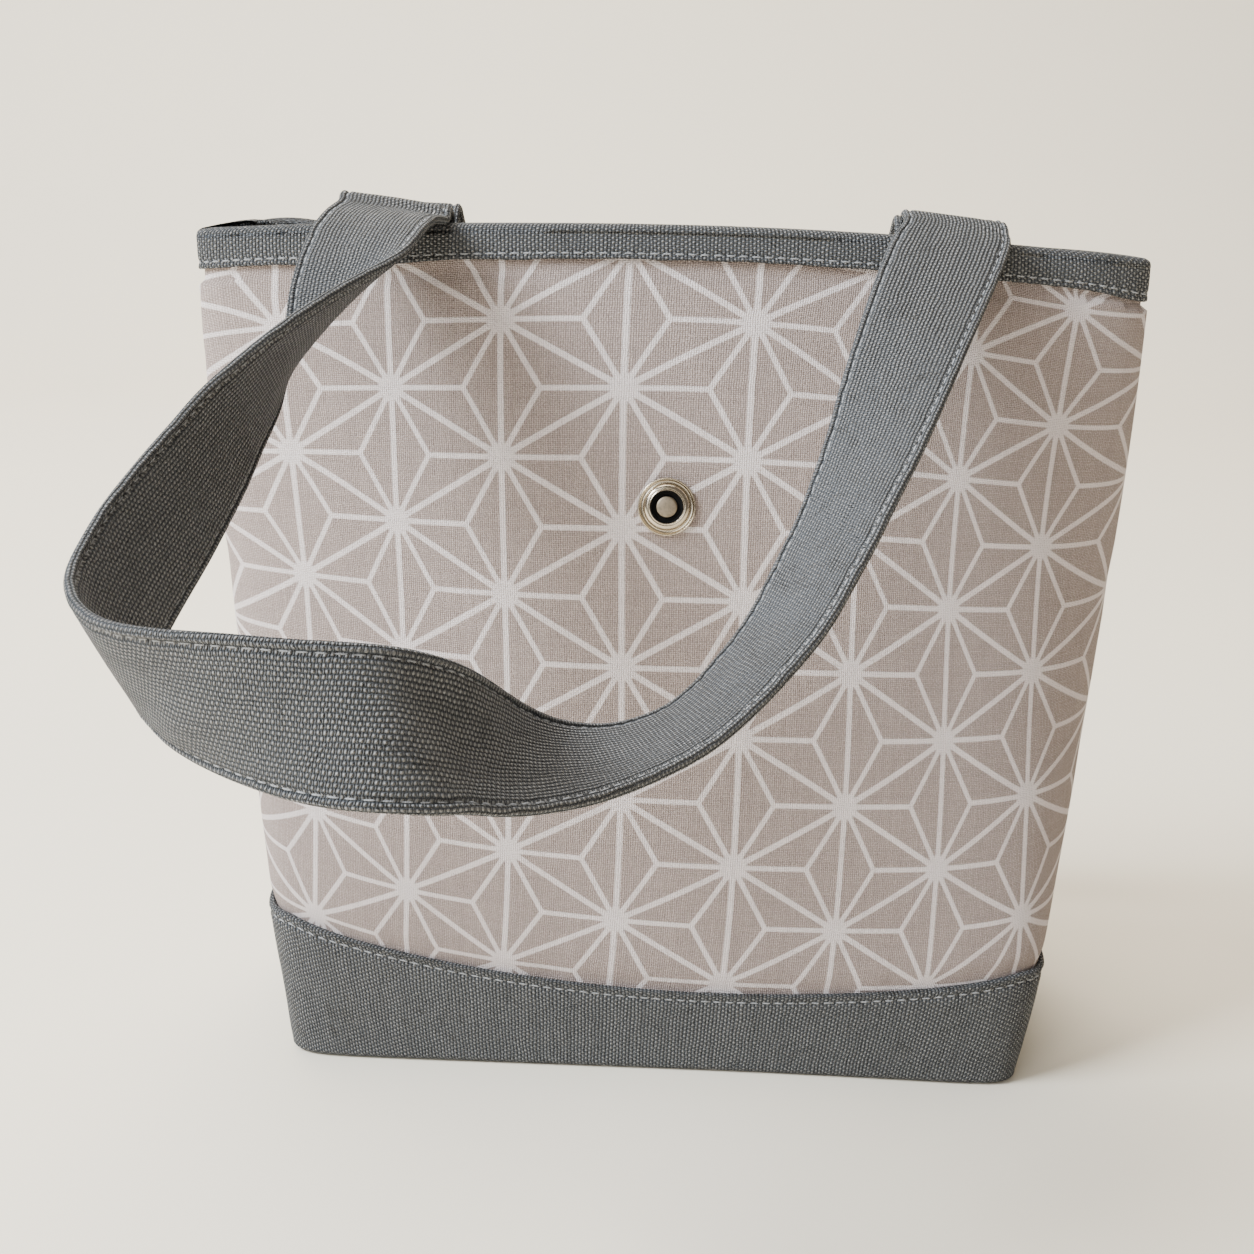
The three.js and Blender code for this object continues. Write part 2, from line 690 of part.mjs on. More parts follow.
function addTab() {
  const { hang, down, outward, offset, pivot, bridgeLength } = tabLayout();
  const at = (along, out) => pivot.clone().addScaledVector(down, along).addScaledVector(outward, out);
  const strip = (from, to, out) => edgewiseStrip([at(from, out), at(to, out)], tabThick, tabWidth, 0);
  const snapAlong = bridgeLength + flapReach;
  const flap = toSolid(strip(bridgeLength + layerGap / 2, snapAlong + flapEnd, offset));
  const tabSnap = new THREE.Group();
  const seat = at(snapAlong, offset + tabThick / 2);
  tabSnap.position.set(0, seat.x, seat.y);
  tabSnap.rotation.x = -Math.PI / 2 + hang;
  bag.add(tabSnap);
  addPiece("closure_tab_root", strip(tabRootDrop, tabRootDrop + tabRootLength, -offset), canvasColor);
  addPiece("closure_tab_bridge", strip(layerGap, bridgeLength - layerGap / 2, offset), canvasColor);
  addPiece("closure_tab_flap", fromSolid(flap.subtract(tabSnapCutter(tabSnap))), canvasColor);
  addTabSnap(tabSnap);
}

function tabSnapCutter(frame) {
  frame.updateMatrixWorld(true);
  const radius = shankRadius + layerGap;
  const cutter = new THREE.CylinderGeometry(radius, radius, 4 * tabThick, latheSides);
  return toSolid(cutter.rotateX(Math.PI / 2).applyMatrix4(frame.matrixWorld));
}

// The tab's half of the snap: a collar that drops into the seat round the post, riveted to a cap
function addTabSnap(frame) {
  const collarOuter = snapDomeInner - layerGap - snapSeatWall - layerGap;
  const bore = shankRadius + layerGap;
  const flangeTop = layerGap + snapFlange;
  const collar = turned(
    [
      [bore, layerGap],
      [collarFlangeRadius, layerGap],
      [collarFlangeRadius, flangeTop],
      [collarOuter, flangeTop + 0.1],
      [collarOuter, collarTall],
      [collarOuter - collarWall, collarTall],
      [collarOuter - collarWall, flangeTop],
      [bore, flangeTop],
    ],
    true,
  );
  const capTop = -tabThick - layerGap;
  const cap = turned([
    [0, capTop - capDome],
    [snapRadius * 0.55, capTop - capDome * 0.8],
    [snapRadius * 0.9, capTop - capDome * 0.4],
    [snapRadius, capTop],
    [shankRadius, capTop],
    [shankRadius, flangeTop],
    [0, flangeTop],
  ]);
  addPiece("tab_snap_collar", collar, nickelColor, frame);
  addPiece("tab_snap_cap", cap, nickelColor, frame);
}

addWalls();
addBase();
addBinding();
addSeamFins();
addHandles();
addFrontSnap();
addTab();

export default bag;
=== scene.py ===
import math
from functools import partial
import bmesh
import bpy
import numpy as np
from mathutils import Matrix, Vector, noise


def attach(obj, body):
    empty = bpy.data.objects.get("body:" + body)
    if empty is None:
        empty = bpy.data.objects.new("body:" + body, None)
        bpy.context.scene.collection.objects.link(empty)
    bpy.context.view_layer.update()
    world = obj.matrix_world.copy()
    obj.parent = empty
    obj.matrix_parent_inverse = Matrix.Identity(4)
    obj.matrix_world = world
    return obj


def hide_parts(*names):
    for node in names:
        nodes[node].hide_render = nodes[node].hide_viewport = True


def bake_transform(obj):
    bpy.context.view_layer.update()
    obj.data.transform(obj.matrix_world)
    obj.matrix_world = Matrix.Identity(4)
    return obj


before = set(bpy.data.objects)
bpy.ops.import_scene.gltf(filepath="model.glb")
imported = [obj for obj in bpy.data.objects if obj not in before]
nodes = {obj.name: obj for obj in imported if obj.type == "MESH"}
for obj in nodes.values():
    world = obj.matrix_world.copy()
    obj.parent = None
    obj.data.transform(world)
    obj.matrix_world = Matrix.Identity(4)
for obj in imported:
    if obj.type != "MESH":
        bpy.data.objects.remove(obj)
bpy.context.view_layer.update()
mm = 0.001
print("frame loaded:", len(nodes), "pieces")


# Small maths

def lerp(a, b, t):
    return a + (b - a) * t


def smoothStep(t):
    t = np.clip(t, 0, 1)
    return t * t * (3 - 2 * t)


def unit(v):
    return v / np.maximum(np.linalg.norm(v, axis=-1, keepdims=True), 1e-9)


def runLength(points):
    steps = np.linalg.norm(np.diff(points, axis=0), axis=-1)
    return np.concatenate([np.zeros((1,) + steps.shape[1:]), np.cumsum(steps, axis=0)])


def bellAt(distance, width):
    return np.exp(-(distance / width) ** 2)


# Soft noise, one value for each point, the same on every run
def softNoise(coords, size, seed=0.0):
    flat = np.asarray(coords, float).reshape(-1, coords.shape[-1])
    if flat.shape[1] == 2:
        flat = np.column_stack([flat, np.zeros(len(flat))])
    shift = Vector((seed * 17.3, seed * 5.1, seed * 9.7))
    values = [noise.noise(Vector(p) / size + shift) for p in flat]
    return np.array(values).reshape(coords.shape[:-1])


def smoothCurve(stations, step):
    stations = np.asarray(stations, float)
    ends = np.vstack([2 * stations[0] - stations[1], stations, 2 * stations[-1] - stations[-2]])
    fine = []
    for i in range(1, len(ends) - 2):
        p0, p1, p2, p3 = ends[i - 1:i + 3]
        for t in np.linspace(0, 1, 14, endpoint=False):
            fine.append(0.5 * (2 * p1 + (p2 - p0) * t + (2 * p0 - 5 * p1 + 4 * p2 - p3) * t ** 2
                               + (3 * p1 - p0 - 3 * p2 + p3) * t ** 3))
    fine = np.array(fine + [ends[-2]])
    middle = (fine[:, :3] + fine[:, 3:6]) / 2
    length = runLength(middle)
    wanted = np.linspace(0, length[-1], max(3, int(round(length[-1] / step))))
    return np.column_stack([np.interp(wanted, length, fine[:, k]) for k in range(fine.shape[1])])


# A piece of cloth is gathered as grids in millimetres, each with its flat coordinates, then made
# into one mesh. Rows of a grid that meet are joined by place.

def newPiece():
    return {"points": [], "flat": [], "faces": [], "looks": [], "count": 0}


def addGrid(piece, points, flat, look=0, flip=False):
    rows, columns = points.shape[:2]
    index = np.arange(rows * columns).reshape(rows, columns) + piece["count"]
    quads = np.stack([index[:-1, :-1], index[:-1, 1:], index[1:, 1:], index[1:, :-1]], -1).reshape(-1, 4)
    if flip:
        quads = quads[:, ::-1]
    piece["points"].append(points.reshape(-1, 3))
    piece["flat"].append(flat.reshape(-1, 2))
    piece["faces"].append(quads)
    piece["looks"].append(np.full(len(quads), look))
    piece["count"] += rows * columns


def makePiece(name, piece, materials):
    flat = np.concatenate(piece["flat"])
    faces = np.concatenate(piece["faces"])
    mesh = bpy.data.meshes.new(name)
    mesh.from_pydata((np.concatenate(piece["points"]) * mm).tolist(), [], faces.tolist())
    layer = mesh.uv_layers.new(name="clothFlat")
    layer.data.foreach_set("uv", flat[faces.reshape(-1)].astype(np.float32).reshape(-1))
    mesh.polygons.foreach_set("material_index", np.concatenate(piece["looks"]).astype(np.int32))
    mesh.polygons.foreach_set("use_smooth", np.ones(len(faces), bool))
    for material in materials:
        mesh.materials.append(material)
    work = bmesh.new()
    work.from_mesh(mesh)
    bmesh.ops.remove_doubles(work, verts=work.verts, dist=2e-6)
    bmesh.ops.dissolve_degenerate(work, edges=work.edges, dist=1e-7)
    bmesh.ops.recalc_face_normals(work, faces=work.faces)
    work.to_mesh(mesh)
    work.free()
    mesh.update()
    made = bpy.data.objects.new(name, mesh)
    bpy.context.scene.collection.objects.link(made)
    return made


# A piece that belongs to one body, or, when a fold (second body and its two ends) is given, is baked in place and left
# on no body
def finishPiece(name, piece, materials, replaced, body="bag", matrix=None, fold=None):
    made = makePiece(name, piece, materials)
    if matrix:
        made.matrix_world = matrix
    if fold:
        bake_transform(made)
    else:
        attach(made, body)
    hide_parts(*replaced)
    return made


# The bag's form, the same as the frame's

bagForm = {
    "height": 224.0, "mouthWidth": 253.0, "mouthDepth": 32.0, "baseWidth": 199.4, "baseDepth": 92.0,
    "sideSwell": 6.0, "faceSwell": 2.0, "faceCurve": 2.1, "baseSquareness": 14.0, "squareFade": 5.0,
    "rimEndDrop": 6.5, "backRimDip": 6.0, "canvasProud": 1.6,
    "seamMiddle": 24.0, "seamSide": 36.0, "seamTilt": 4.0, "seamLap": 10.0,
    "leanLow": 0.9, "leanHigh": -2.2, "rightCorner": 3.0, "backLift": 3.0,
    "paddingInner": 3.1, "liningOuter": 3.4, "liningInner": 3.9,
    "floorTop": 6.0, "seamGap": 0.15, "snapHeight": 154.0,
    "bindingHeight": 8.7, "bindingLeft": 1.8, "bindingRight": 1.1, "bindingBumps": ((-88, 14, 1.1), (126, 12, 1.6)),
    "lift": 1.3, "liftFront": (-86, 14), "liftBack": (-126.6, 6),
}


# The standing bag leans a little to its left
def leanAt(share):
    return bagForm["leanLow"] * smoothStep(share / 0.12) + bagForm["leanHigh"] * share


# The binding is narrower in the middle
def bindingHeightAt(x):
    f = bagForm
    ends = np.where(x < 0, f["bindingLeft"], f["bindingRight"]) * (np.abs(x) / 126) ** 2
    return f["bindingHeight"] + ends + sum(grow * bellAt(x - at, width) for at, width, grow in f["bindingBumps"])


# and its front left part stands a little higher than the wall inside it, round to the left end
def bindingLift(x, sides):
    (front, frontFade), (back, backFade) = bagForm["liftFront"], bagForm["liftBack"]
    return bagForm["lift"] * (1 - smoothStep(np.where(sides < 0, (x - front) / frontFade, (x - back) / backFade)))


# Half the width and depth at a height, and how square the corners are
def sectionAt(share):
    f = bagForm
    swell = 4 * share * (1 - share)
    topDepth = f["mouthDepth"] / 2 - f["canvasProud"]
    lean = 1 - share ** f["faceCurve"]
    lowHalf = f["baseWidth"] / 2 - f["canvasProud"]
    highHalf = f["mouthWidth"] / 2 - f["canvasProud"]
    halfWidth = lerp(lowHalf, highHalf, share) + f["sideSwell"] * swell
    halfDepth = topDepth + (f["baseDepth"] / 2 - f["canvasProud"] - topDepth) * lean + f["faceSwell"] * swell
    power = 2 + f["baseSquareness"] * np.maximum(0, 1 - share) ** f["squareFade"]
    return halfWidth, halfDepth, power


# The same inset by a depth
def insetAt(share, depth):
    halfWidth, halfDepth, power = sectionAt(share)
    pinch = np.sqrt(np.maximum(0, 1 - (np.maximum(depth, 0) / halfDepth) ** 2))
    return halfWidth * pinch - depth, halfDepth - depth, power


def rimHeightAt(x, side):
    f = bagForm
    out = np.minimum(1, np.abs(x) / (f["mouthWidth"] / 2)) ** 2
    dip = f["backRimDip"] * (1 - out) ** 2 if side > 0 else 0
    return f["height"] - f["canvasProud"] - f["rimEndDrop"] * out - dip


def rimHeights(points, sides):
    return np.where(sides < 0, rimHeightAt(points[:, 0], -1), rimHeightAt(points[:, 0], 1))


# turn is -90 degrees at the left side seam, 0 in the middle of a face and 90 at the right one
def wallPoint(turn, share, depth, side):
    halfWidth, halfDepth, power = insetAt(share, depth)
    out = np.sin(turn)
    x = halfWidth * out
    y = side * halfDepth * np.maximum(0, 1 - np.abs(out) ** power) ** (1 / power)
    z = share * rimHeightAt(x, side)
    if side < 0:
        y = y - bagForm["rightCorner"] * np.maximum(0, x / 100) ** 2 * np.maximum(0, 1 - share) ** 3
    else:
        z = z + bagForm["backLift"] * bellAt(x + 104, 15) * np.maximum(0, share) ** 3
    return np.stack(np.broadcast_arrays(x + leanAt(share), y, z), -1)


def halfDepthAt(x, z, depth, side=-1):
    share = z / rimHeightAt(x, side)
    halfWidth, halfDepth, power = insetAt(share, depth)
    return halfDepth * max(0, 1 - (abs(x - leanAt(share)) / halfWidth) ** power) ** (1 / power)


def seamHeightAt(x):
    f = bagForm
    out = np.minimum(1, np.abs(x) / (f["baseWidth"] / 2)) ** 2
    return lerp(f["seamMiddle"], f["seamSide"], out) - f["seamTilt"] * x / 100


def shareOfHeight(turn, depth, side, heightAt):
    share = np.full_like(turn, 0.1)
    for _ in range(7):
        p = wallPoint(turn, share, depth, side)
        share = heightAt(p[..., 0]) / rimHeightAt(p[..., 0], side)
    return share


# Round the bag: the turns of both faces in one loop, from the left seam over the front
def loopTurns(count):
    half = np.linspace(-math.pi / 2, math.pi / 2, count // 2 + 1)
    turns = np.concatenate([half, half[::-1][1:]])
    sides = np.concatenate([-np.ones(count // 2 + 1), np.ones(count // 2)])
    return turns, sides


def loopPoints(turns, sides, share, depth):
    share = np.broadcast_to(share, turns.shape)
    depth = np.broadcast_to(depth, turns.shape)
    front = wallPoint(turns, share, depth, -1)
    back = wallPoint(turns, share, depth, 1)
    return np.where((sides < 0)[:, None], front, back)


# Shader helpers

def feed(tree, socket, value):
    if isinstance(value, bpy.types.NodeSocket):
        tree.links.new(value, socket)
    elif value is not None:
        socket.default_value = value


def mathNode(tree, operation, *values):
    node = tree.nodes.new("ShaderNodeMath")
    node.operation = operation
    for socket, value in zip(node.inputs, values):
        feed(tree, socket, value)
    return node.outputs[0]


def rangeNode(tree, value, low, high, toLow=0.0, toHigh=1.0):
    node = tree.nodes.new("ShaderNodeMapRange")
    node.interpolation_type = "SMOOTHSTEP"
    for socket, v in zip(node.inputs, (value, low, high, toLow, toHigh)):
        feed(tree, socket, v)
    return node.outputs["Result"]


def mixColour(tree, amount, first, second, blend="MIX"):
    node = tree.nodes.new("ShaderNodeMix")
    node.data_type = "RGBA"
    node.blend_type = blend
    for place, value in ((0, amount), (6, first), (7, second)):
        feed(tree, node.inputs[place], value)
    return node.outputs[2]


def noiseNode(tree, vector, scale, detail=2.0, roughness=0.5):
    node = tree.nodes.new("ShaderNodeTexNoise")
    for name, value in (("Vector", vector), ("Scale", scale), ("Detail", detail), ("Roughness", roughness)):
        feed(tree, node.inputs[name], value)
    return node.outputs["Fac"]


def joinVector(tree, x, y, z=0.0):
    node = tree.nodes.new("ShaderNodeCombineXYZ")
    for socket, value in zip(node.inputs, (x, y, z)):
        feed(tree, socket, value)
    return node.outputs[0]


def splitVector(tree, vector):
    node = tree.nodes.new("ShaderNodeSeparateXYZ")
    feed(tree, node.inputs[0], vector)
    return node.outputs[0], node.outputs[1]


def bumpNode(tree, height, depth, strength=1.0, normal=None):
    node = tree.nodes.new("ShaderNodeBump")
    node.inputs["Strength"].default_value = strength
    node.inputs["Distance"].default_value = depth * mm
    feed(tree, node.inputs["Height"], height)
    feed(tree, node.inputs["Normal"], normal)
    return node.outputs[0]


# Helpers bound to one node tree
def toolsFor(tree, *makers):
    return [partial(make, tree) for make in makers]


# Every group takes a place in millimetres first, then plain values
def newGroup(name, values, results):
    group = bpy.data.node_groups.new(name, "ShaderNodeTree")
    group.interface.new_socket(name="place", in_out="INPUT", socket_type="NodeSocketVector")
    for key, value in values.items():
        group.interface.new_socket(name=key, in_out="INPUT", socket_type="NodeSocketFloat").default_value = value
    for key in results:
        group.interface.new_socket(name=key, in_out="OUTPUT", socket_type="NodeSocketFloat")
    return group, group.nodes.new("NodeGroupInput").outputs, group.nodes.new("NodeGroupOutput").inputs


# A group's sockets are fed from the values here, or else from the look's keys of the same names
def placeGroup(tree, group, look, **values):
    node = tree.nodes.new("ShaderNodeGroup")
    node.node_tree = group
    for socket in node.inputs:
        feed(tree, socket, values.get(socket.name, look.get(socket.name)))
    return node.outputs


# Threads over and under each other
def buildPlainWeave():
    values = {"pitch": 1.0, "weftPitch": 1.0, "weftHeight": 1.0, "crown": 0.6, "wobble": 0.2, "slub": 0.3}
    group, given, result = newGroup("plainWeave", values, ("height", "gap", "tint"))
    m, ramp, noiseAt, join = toolsFor(group, mathNode, rangeNode, noiseNode, joinVector)
    placeX, placeY = splitVector(group, given["place"])
    driftX = noiseAt(given["place"], 0.16)
    driftY = noiseAt(join(m("ADD", placeY, 37.0), placeX), 0.16)
    fine = noiseAt(given["place"], 0.9, 1.0)

    def thread(place, drift, pitch):
        bent = m("SUBTRACT", m("ADD", m("MULTIPLY", drift, 2.2), m("MULTIPLY", fine, 0.6)), 1.4)
        return m("DIVIDE", m("ADD", place, m("MULTIPLY", bent, given["wobble"])), given[pitch])

    def crown(v):
        return m("POWER", m("MAXIMUM", m("SINE", m("MULTIPLY", m("FRACT", v), math.pi)), 0.001), given["crown"])

    def lift(v, line, rise):
        return m("MULTIPLY_ADD", m("COSINE", m("MULTIPLY", m("ADD", m("SUBTRACT", v, 0.5), line), math.pi)), rise, 0.52)

    def dye(line, shift, slub):
        dice = group.nodes.new("ShaderNodeTexWhiteNoise")
        dice.noise_dimensions = "1D"
        feed(group, dice.inputs["W"], m("ADD", line, shift))
        return m("ADD", m("MULTIPLY", dice.outputs["Value"], 0.25), m("MULTIPLY", noiseAt(slub, 1.0), 0.75))

    x, y = thread(placeX, driftX, "pitch"), thread(placeY, driftY, "weftPitch")
    column, row = m("FLOOR", x), m("FLOOR", y)
    warp = m("MULTIPLY", crown(x), lift(y, column, 0.48))
    weft = m("MULTIPLY", crown(y), m("MULTIPLY", lift(x, row, -0.48), given["weftHeight"]))
    onTop = m("GREATER_THAN", warp, weft)
    warpTint = dye(column, 0.37, join(m("MULTIPLY", column, 3.1), m("MULTIPLY", placeY, 0.16)))
    weftTint = dye(row, 91.7, join(m("MULTIPLY", placeX, 0.16), m("MULTIPLY", row, 3.1)))
    tint = m("ADD", m("MULTIPLY", warpTint, onTop), m("MULTIPLY", weftTint, m("SUBTRACT", 1.0, onTop)))
    height = m("MAXIMUM", warp, weft)
    feed(group, result["height"], m("MULTIPLY_ADD", m("SUBTRACT", tint, 0.5), given["slub"], height))
    # gap: where the threads sink low, the mask for painted shade in the hollows between threads
    feed(group, result["gap"], ramp(height, 0.77, 0.28))
    feed(group, result["tint"], tint)
    return group


# Uneven dye and paler rubbed places
def buildClothAge():
    group, given, result = newGroup("clothAge", {"patch": 0.04, "rub": 0.2}, ("shade", "rubbed"))
    m, ramp, noiseAt = toolsFor(group, mathNode, rangeNode, noiseNode)
    broad = noiseAt(given["place"], 0.022, 3.0, 0.55)
    small = noiseAt(given["place"], 0.35, 3.0, 0.6)
    spread = m("ADD", m("MULTIPLY", broad, 0.7), m("MULTIPLY", small, 0.3))
    feed(group, result["shade"], m("MULTIPLY_ADD", m("SUBTRACT", spread, 0.5), given["patch"], 1.0))
    feed(group, result["rubbed"], m("MULTIPLY", ramp(small, 0.55, 0.75), given["rub"]))
    return group


# The printed hemp-leaf lattice: a net of triangles with a three-armed star in each
def buildHempLeaf():
    values = {"latticePitch": 35.55, "line": 1.7, "innerLine": 1.4, "soft": 0.35, "star": 3.4}
    group, given, result = newGroup("hempLeaf", values, ("ink",))
    m, ramp = toolsFor(group, mathNode, rangeNode)
    x, y = splitVector(group, given["place"])
    column = m("MULTIPLY", given["latticePitch"], math.cos(math.pi / 6))
    double = m("MULTIPLY", column, 2.0)
    halfPitch = m("MULTIPLY", given["latticePitch"], 0.5)

    def wrapped(v, size):
        return m("SUBTRACT", v, m("MULTIPLY", m("ROUND", m("DIVIDE", v, size)), size))

    def starGap(dx, dy):
        gx, gy = wrapped(m("SUBTRACT", x, dx), double), wrapped(m("SUBTRACT", y, dy), given["latticePitch"])
        return m("SQRT", m("ADD", m("MULTIPLY", gx, gx), m("MULTIPLY", gy, gy)))

    inks = []
    for k in range(3):
        c, s = math.cos(math.pi * k / 3), math.sin(math.pi * k / 3)
        along = m("ADD", m("MULTIPLY", x, c), m("MULTIPLY", y, s))
        across = m("SUBTRACT", m("MULTIPLY", y, c), m("MULTIPLY", x, s))
        inks.append(m("SUBTRACT", m("MULTIPLY", given["line"], 0.5), m("ABSOLUTE", wrapped(along, column))))
        row = m("ROUND", m("DIVIDE", across, halfPitch))
        off = m("ABSOLUTE", m("SUBTRACT", across, m("MULTIPLY", row, halfPitch)))
        odd = m("MULTIPLY", m("FLOORED_MODULO", row, 2.0), column)
        reach = m("ABSOLUTE", wrapped(m("SUBTRACT", along, odd), double))
        arm = m("SUBTRACT", m("MULTIPLY", given["innerLine"], 0.5), off)
        inks.append(m("MINIMUM", arm, m("SUBTRACT", m("MULTIPLY", double, 1 / 3), m("SUBTRACT", reach, 0.5))))
    body = inks[0]
    for ink in inks[1:]:
        body = m("MAXIMUM", body, ink)
    blob = m("SUBTRACT", given["star"], m("MINIMUM", starGap(0.0, 0.0), starGap(column, halfPitch)))
    body = m("SMOOTH_MAX", body, m("MULTIPLY", blob, 0.5), 0.9)
    feed(group, result["ink"], ramp(body, m("MULTIPLY", given["soft"], -0.5), m("MULTIPLY", given["soft"], 0.5)))
    return group


# Fine scratches and handling marks for metal
def buildMetalWear():
    group, given, result = newGroup("metalWear", {"amount": 0.5}, ("haze", "scratch"))
    m, ramp, noiseAt, join = toolsFor(group, mathNode, rangeNode, noiseNode, joinVector)
    haze = noiseAt(given["place"], 0.55, 4.0, 0.6)
    px, py = splitVector(group, given["place"])
    lines = noiseAt(join(m("MULTIPLY", px, 3.0), m("MULTIPLY", py, 0.3)), 1.0, 3.0, 0.7)
    feed(group, result["haze"], m("MULTIPLY", ramp(haze, 0.35, 0.7), given["amount"]))
    feed(group, result["scratch"], m("MULTIPLY", ramp(lines, 0.6, 0.66), given["amount"]))
    return group


plainWeave, clothAge, hempLeaf, metalWear = buildPlainWeave(), buildClothAge(), buildHempLeaf(), buildMetalWear()


# Place is in millimetres: along the flat cloth, or else the piece's own coordinates
def newMaterial(name, flatCloth=False):
    material = bpy.data.materials.new(name)
    material.use_nodes = True
    tree = material.node_tree
    if flatCloth:
        node = tree.nodes.new("ShaderNodeUVMap")
        node.uv_map = "clothFlat"
        return material, tree, node.outputs[0]
    node = tree.nodes.new("ShaderNodeTexCoord")
    scale = tree.nodes.new("ShaderNodeVectorMath")
    scale.operation = "SCALE"
    tree.links.new(node.outputs["Object"], scale.inputs[0])
    scale.inputs["Scale"].default_value = 1 / mm
    return material, tree, scale.outputs[0]


def feedShader(material, values):
    tree = material.node_tree
    for name, value in values.items():
        feed(tree, tree.nodes["Principled BSDF"].inputs[name], value)
    return material


# Each cloth's gap colour, here and in the thread, lining and print looks below, is painted shade that darkens the
# hollows between threads
canvasCloth = {
    "pitch": 0.98, "weftPitch": 0.58, "weftHeight": 0.5, "crown": 0.85, "wobble": 0.42, "slub": 0.4,
    "pale": (0.455, 0.435, 0.415, 1), "dark": (0.29, 0.275, 0.26, 1), "gap": (0.014, 0.0135, 0.013, 1),
    "gapShadeAmount": 1.0, "patch": 0.16, "rub": 0.12, "rubbed": (0.50, 0.485, 0.47, 1),
    "depth": 3.0, "roughness": 0.64, "crumpleSize": 0.055, "crumpleDepth": 3.4,
    "sheen": 0.16, "sheenTint": (0.76, 0.86, 1.0, 1),
}
threadCloth = dict(
    canvasCloth, pitch=0.34, weftPitch=0.34, weftHeight=1.0, crown=0.6, wobble=0.02, slub=0.3,
    pale=(0.40, 0.405, 0.42, 1), dark=(0.24, 0.245, 0.255, 1), gap=(0.08, 0.082, 0.085, 1),
    gapShadeAmount=0.5, patch=0.15, rub=0.1, rubbed=(0.44, 0.45, 0.46, 1), depth=0.05, roughness=0.72,
    crumpleSize=0.3, crumpleDepth=0.1)
liningCloth = dict(
    canvasCloth, pitch=0.42, weftPitch=0.42, weftHeight=1.0, crown=0.6, wobble=0.04, slub=0.25,
    pale=(0.66, 0.63, 0.59, 1), dark=(0.54, 0.515, 0.48, 1), gap=(0.38, 0.36, 0.335, 1),
    gapShadeAmount=0.4, patch=0.08, rub=0.1, rubbed=(0.7, 0.675, 0.64, 1), depth=0.08, roughness=0.8,
    crumpleSize=0.05, crumpleDepth=1.2)
# The print's gap colour is painted shade in the hollows between threads; its specks take the same colour
printCloth = {
    "pitch": 0.6, "weftPitch": 0.5, "weftHeight": 0.8, "crown": 0.6, "wobble": 0.34, "slub": 0.7,
    "ground": (0.63, 0.51, 0.47, 1), "groundDark": (0.47, 0.375, 0.345, 1), "ink": (0.90, 0.805, 0.795, 1),
    "speckSize": 1.7, "speck": 0.36, "patch": 0.07, "rub": 0.0,
    "gapShadeAmount": 0.75, "gap": (0.22, 0.175, 0.155, 1), "depth": 0.4,
    "latticePitch": 35.55, "line": 1.58, "innerLine": 1.4, "soft": 0.42, "star": 3.3, "bleed": 0.3,
}
nickelPlate = {
    "base": (0.57, 0.495, 0.385, 1), "hazed": (0.45, 0.385, 0.295, 1), "roughness": 0.2, "amount": 0.16}
dullStud = {"base": (0.37, 0.305, 0.225, 1), "hazed": (0.24, 0.20, 0.15, 1), "roughness": 0.42, "amount": 0.9}
battingFluff = {
    "grain": (0.8, 6.0, 0.7), "dark": (0.62, 0.61, 0.58, 1), "pale": (0.86, 0.85, 0.82, 1),
    "spread": (0.2, 0.8), "roughness": (0.9, 1.0), "bump": 0.8}
stiffenerBoard = {
    "grain": (2.5, 4.0, 0.6), "dark": (0.24, 0.225, 0.20, 1), "cloud": (0.32, 0.30, 0.27, 1),
    "pale": (0.28, 0.265, 0.24, 1), "spread": (0.3, 0.7), "roughness": (0.55, 0.75), "bump": 0.06}
# The snap's seat is painted near black, as painted shade for the dark hole in the snap
holeShadeBlack = {
    "grain": (1.4, 4.0), "dark": (0.002, 0.002, 0.002, 1), "pale": (0.006, 0.006, 0.006, 1),
    "spread": (0.3, 0.7), "roughness": (0.5, 0.7), "specular": 0.12}


def makeWoven(name, look):
    material, tree, place = newMaterial(name, flatCloth=True)
    m, ramp, mix, noiseAt, join = toolsFor(tree, mathNode, rangeNode, mixColour, noiseNode, joinVector)
    weave = placeGroup(tree, plainWeave, look, place=place)
    age = placeGroup(tree, clothAge, look, place=place)
    yarn = mix(ramp(weave["tint"], 0.28, 0.72), look["dark"], look["pale"])
    worn = mix(age["rubbed"], yarn, look["rubbed"])
    # painted shade: the hollows between threads are darkened towards the gap colour
    gapShaded = mix(m("MULTIPLY", weave["gap"], look["gapShadeAmount"]), worn, look["gap"])
    crumple = bumpNode(tree, noiseAt(place, look["crumpleSize"], 3.0), look["crumpleDepth"])
    return feedShader(material, {
        "Base Color": mix(1.0, gapShaded, join(age["shade"], age["shade"], age["shade"]), "MULTIPLY"),
        "Roughness": ramp(weave["height"], 0.2, 1.0, look["roughness"] + 0.08, look["roughness"] - 0.06),
        "Normal": bumpNode(tree, weave["height"], look["depth"], normal=crumple),
        "Sheen Weight": look["sheen"], "Sheen Tint": look["sheenTint"], "Sheen Roughness": 0.55,
        "Specular IOR Level": 0.4})


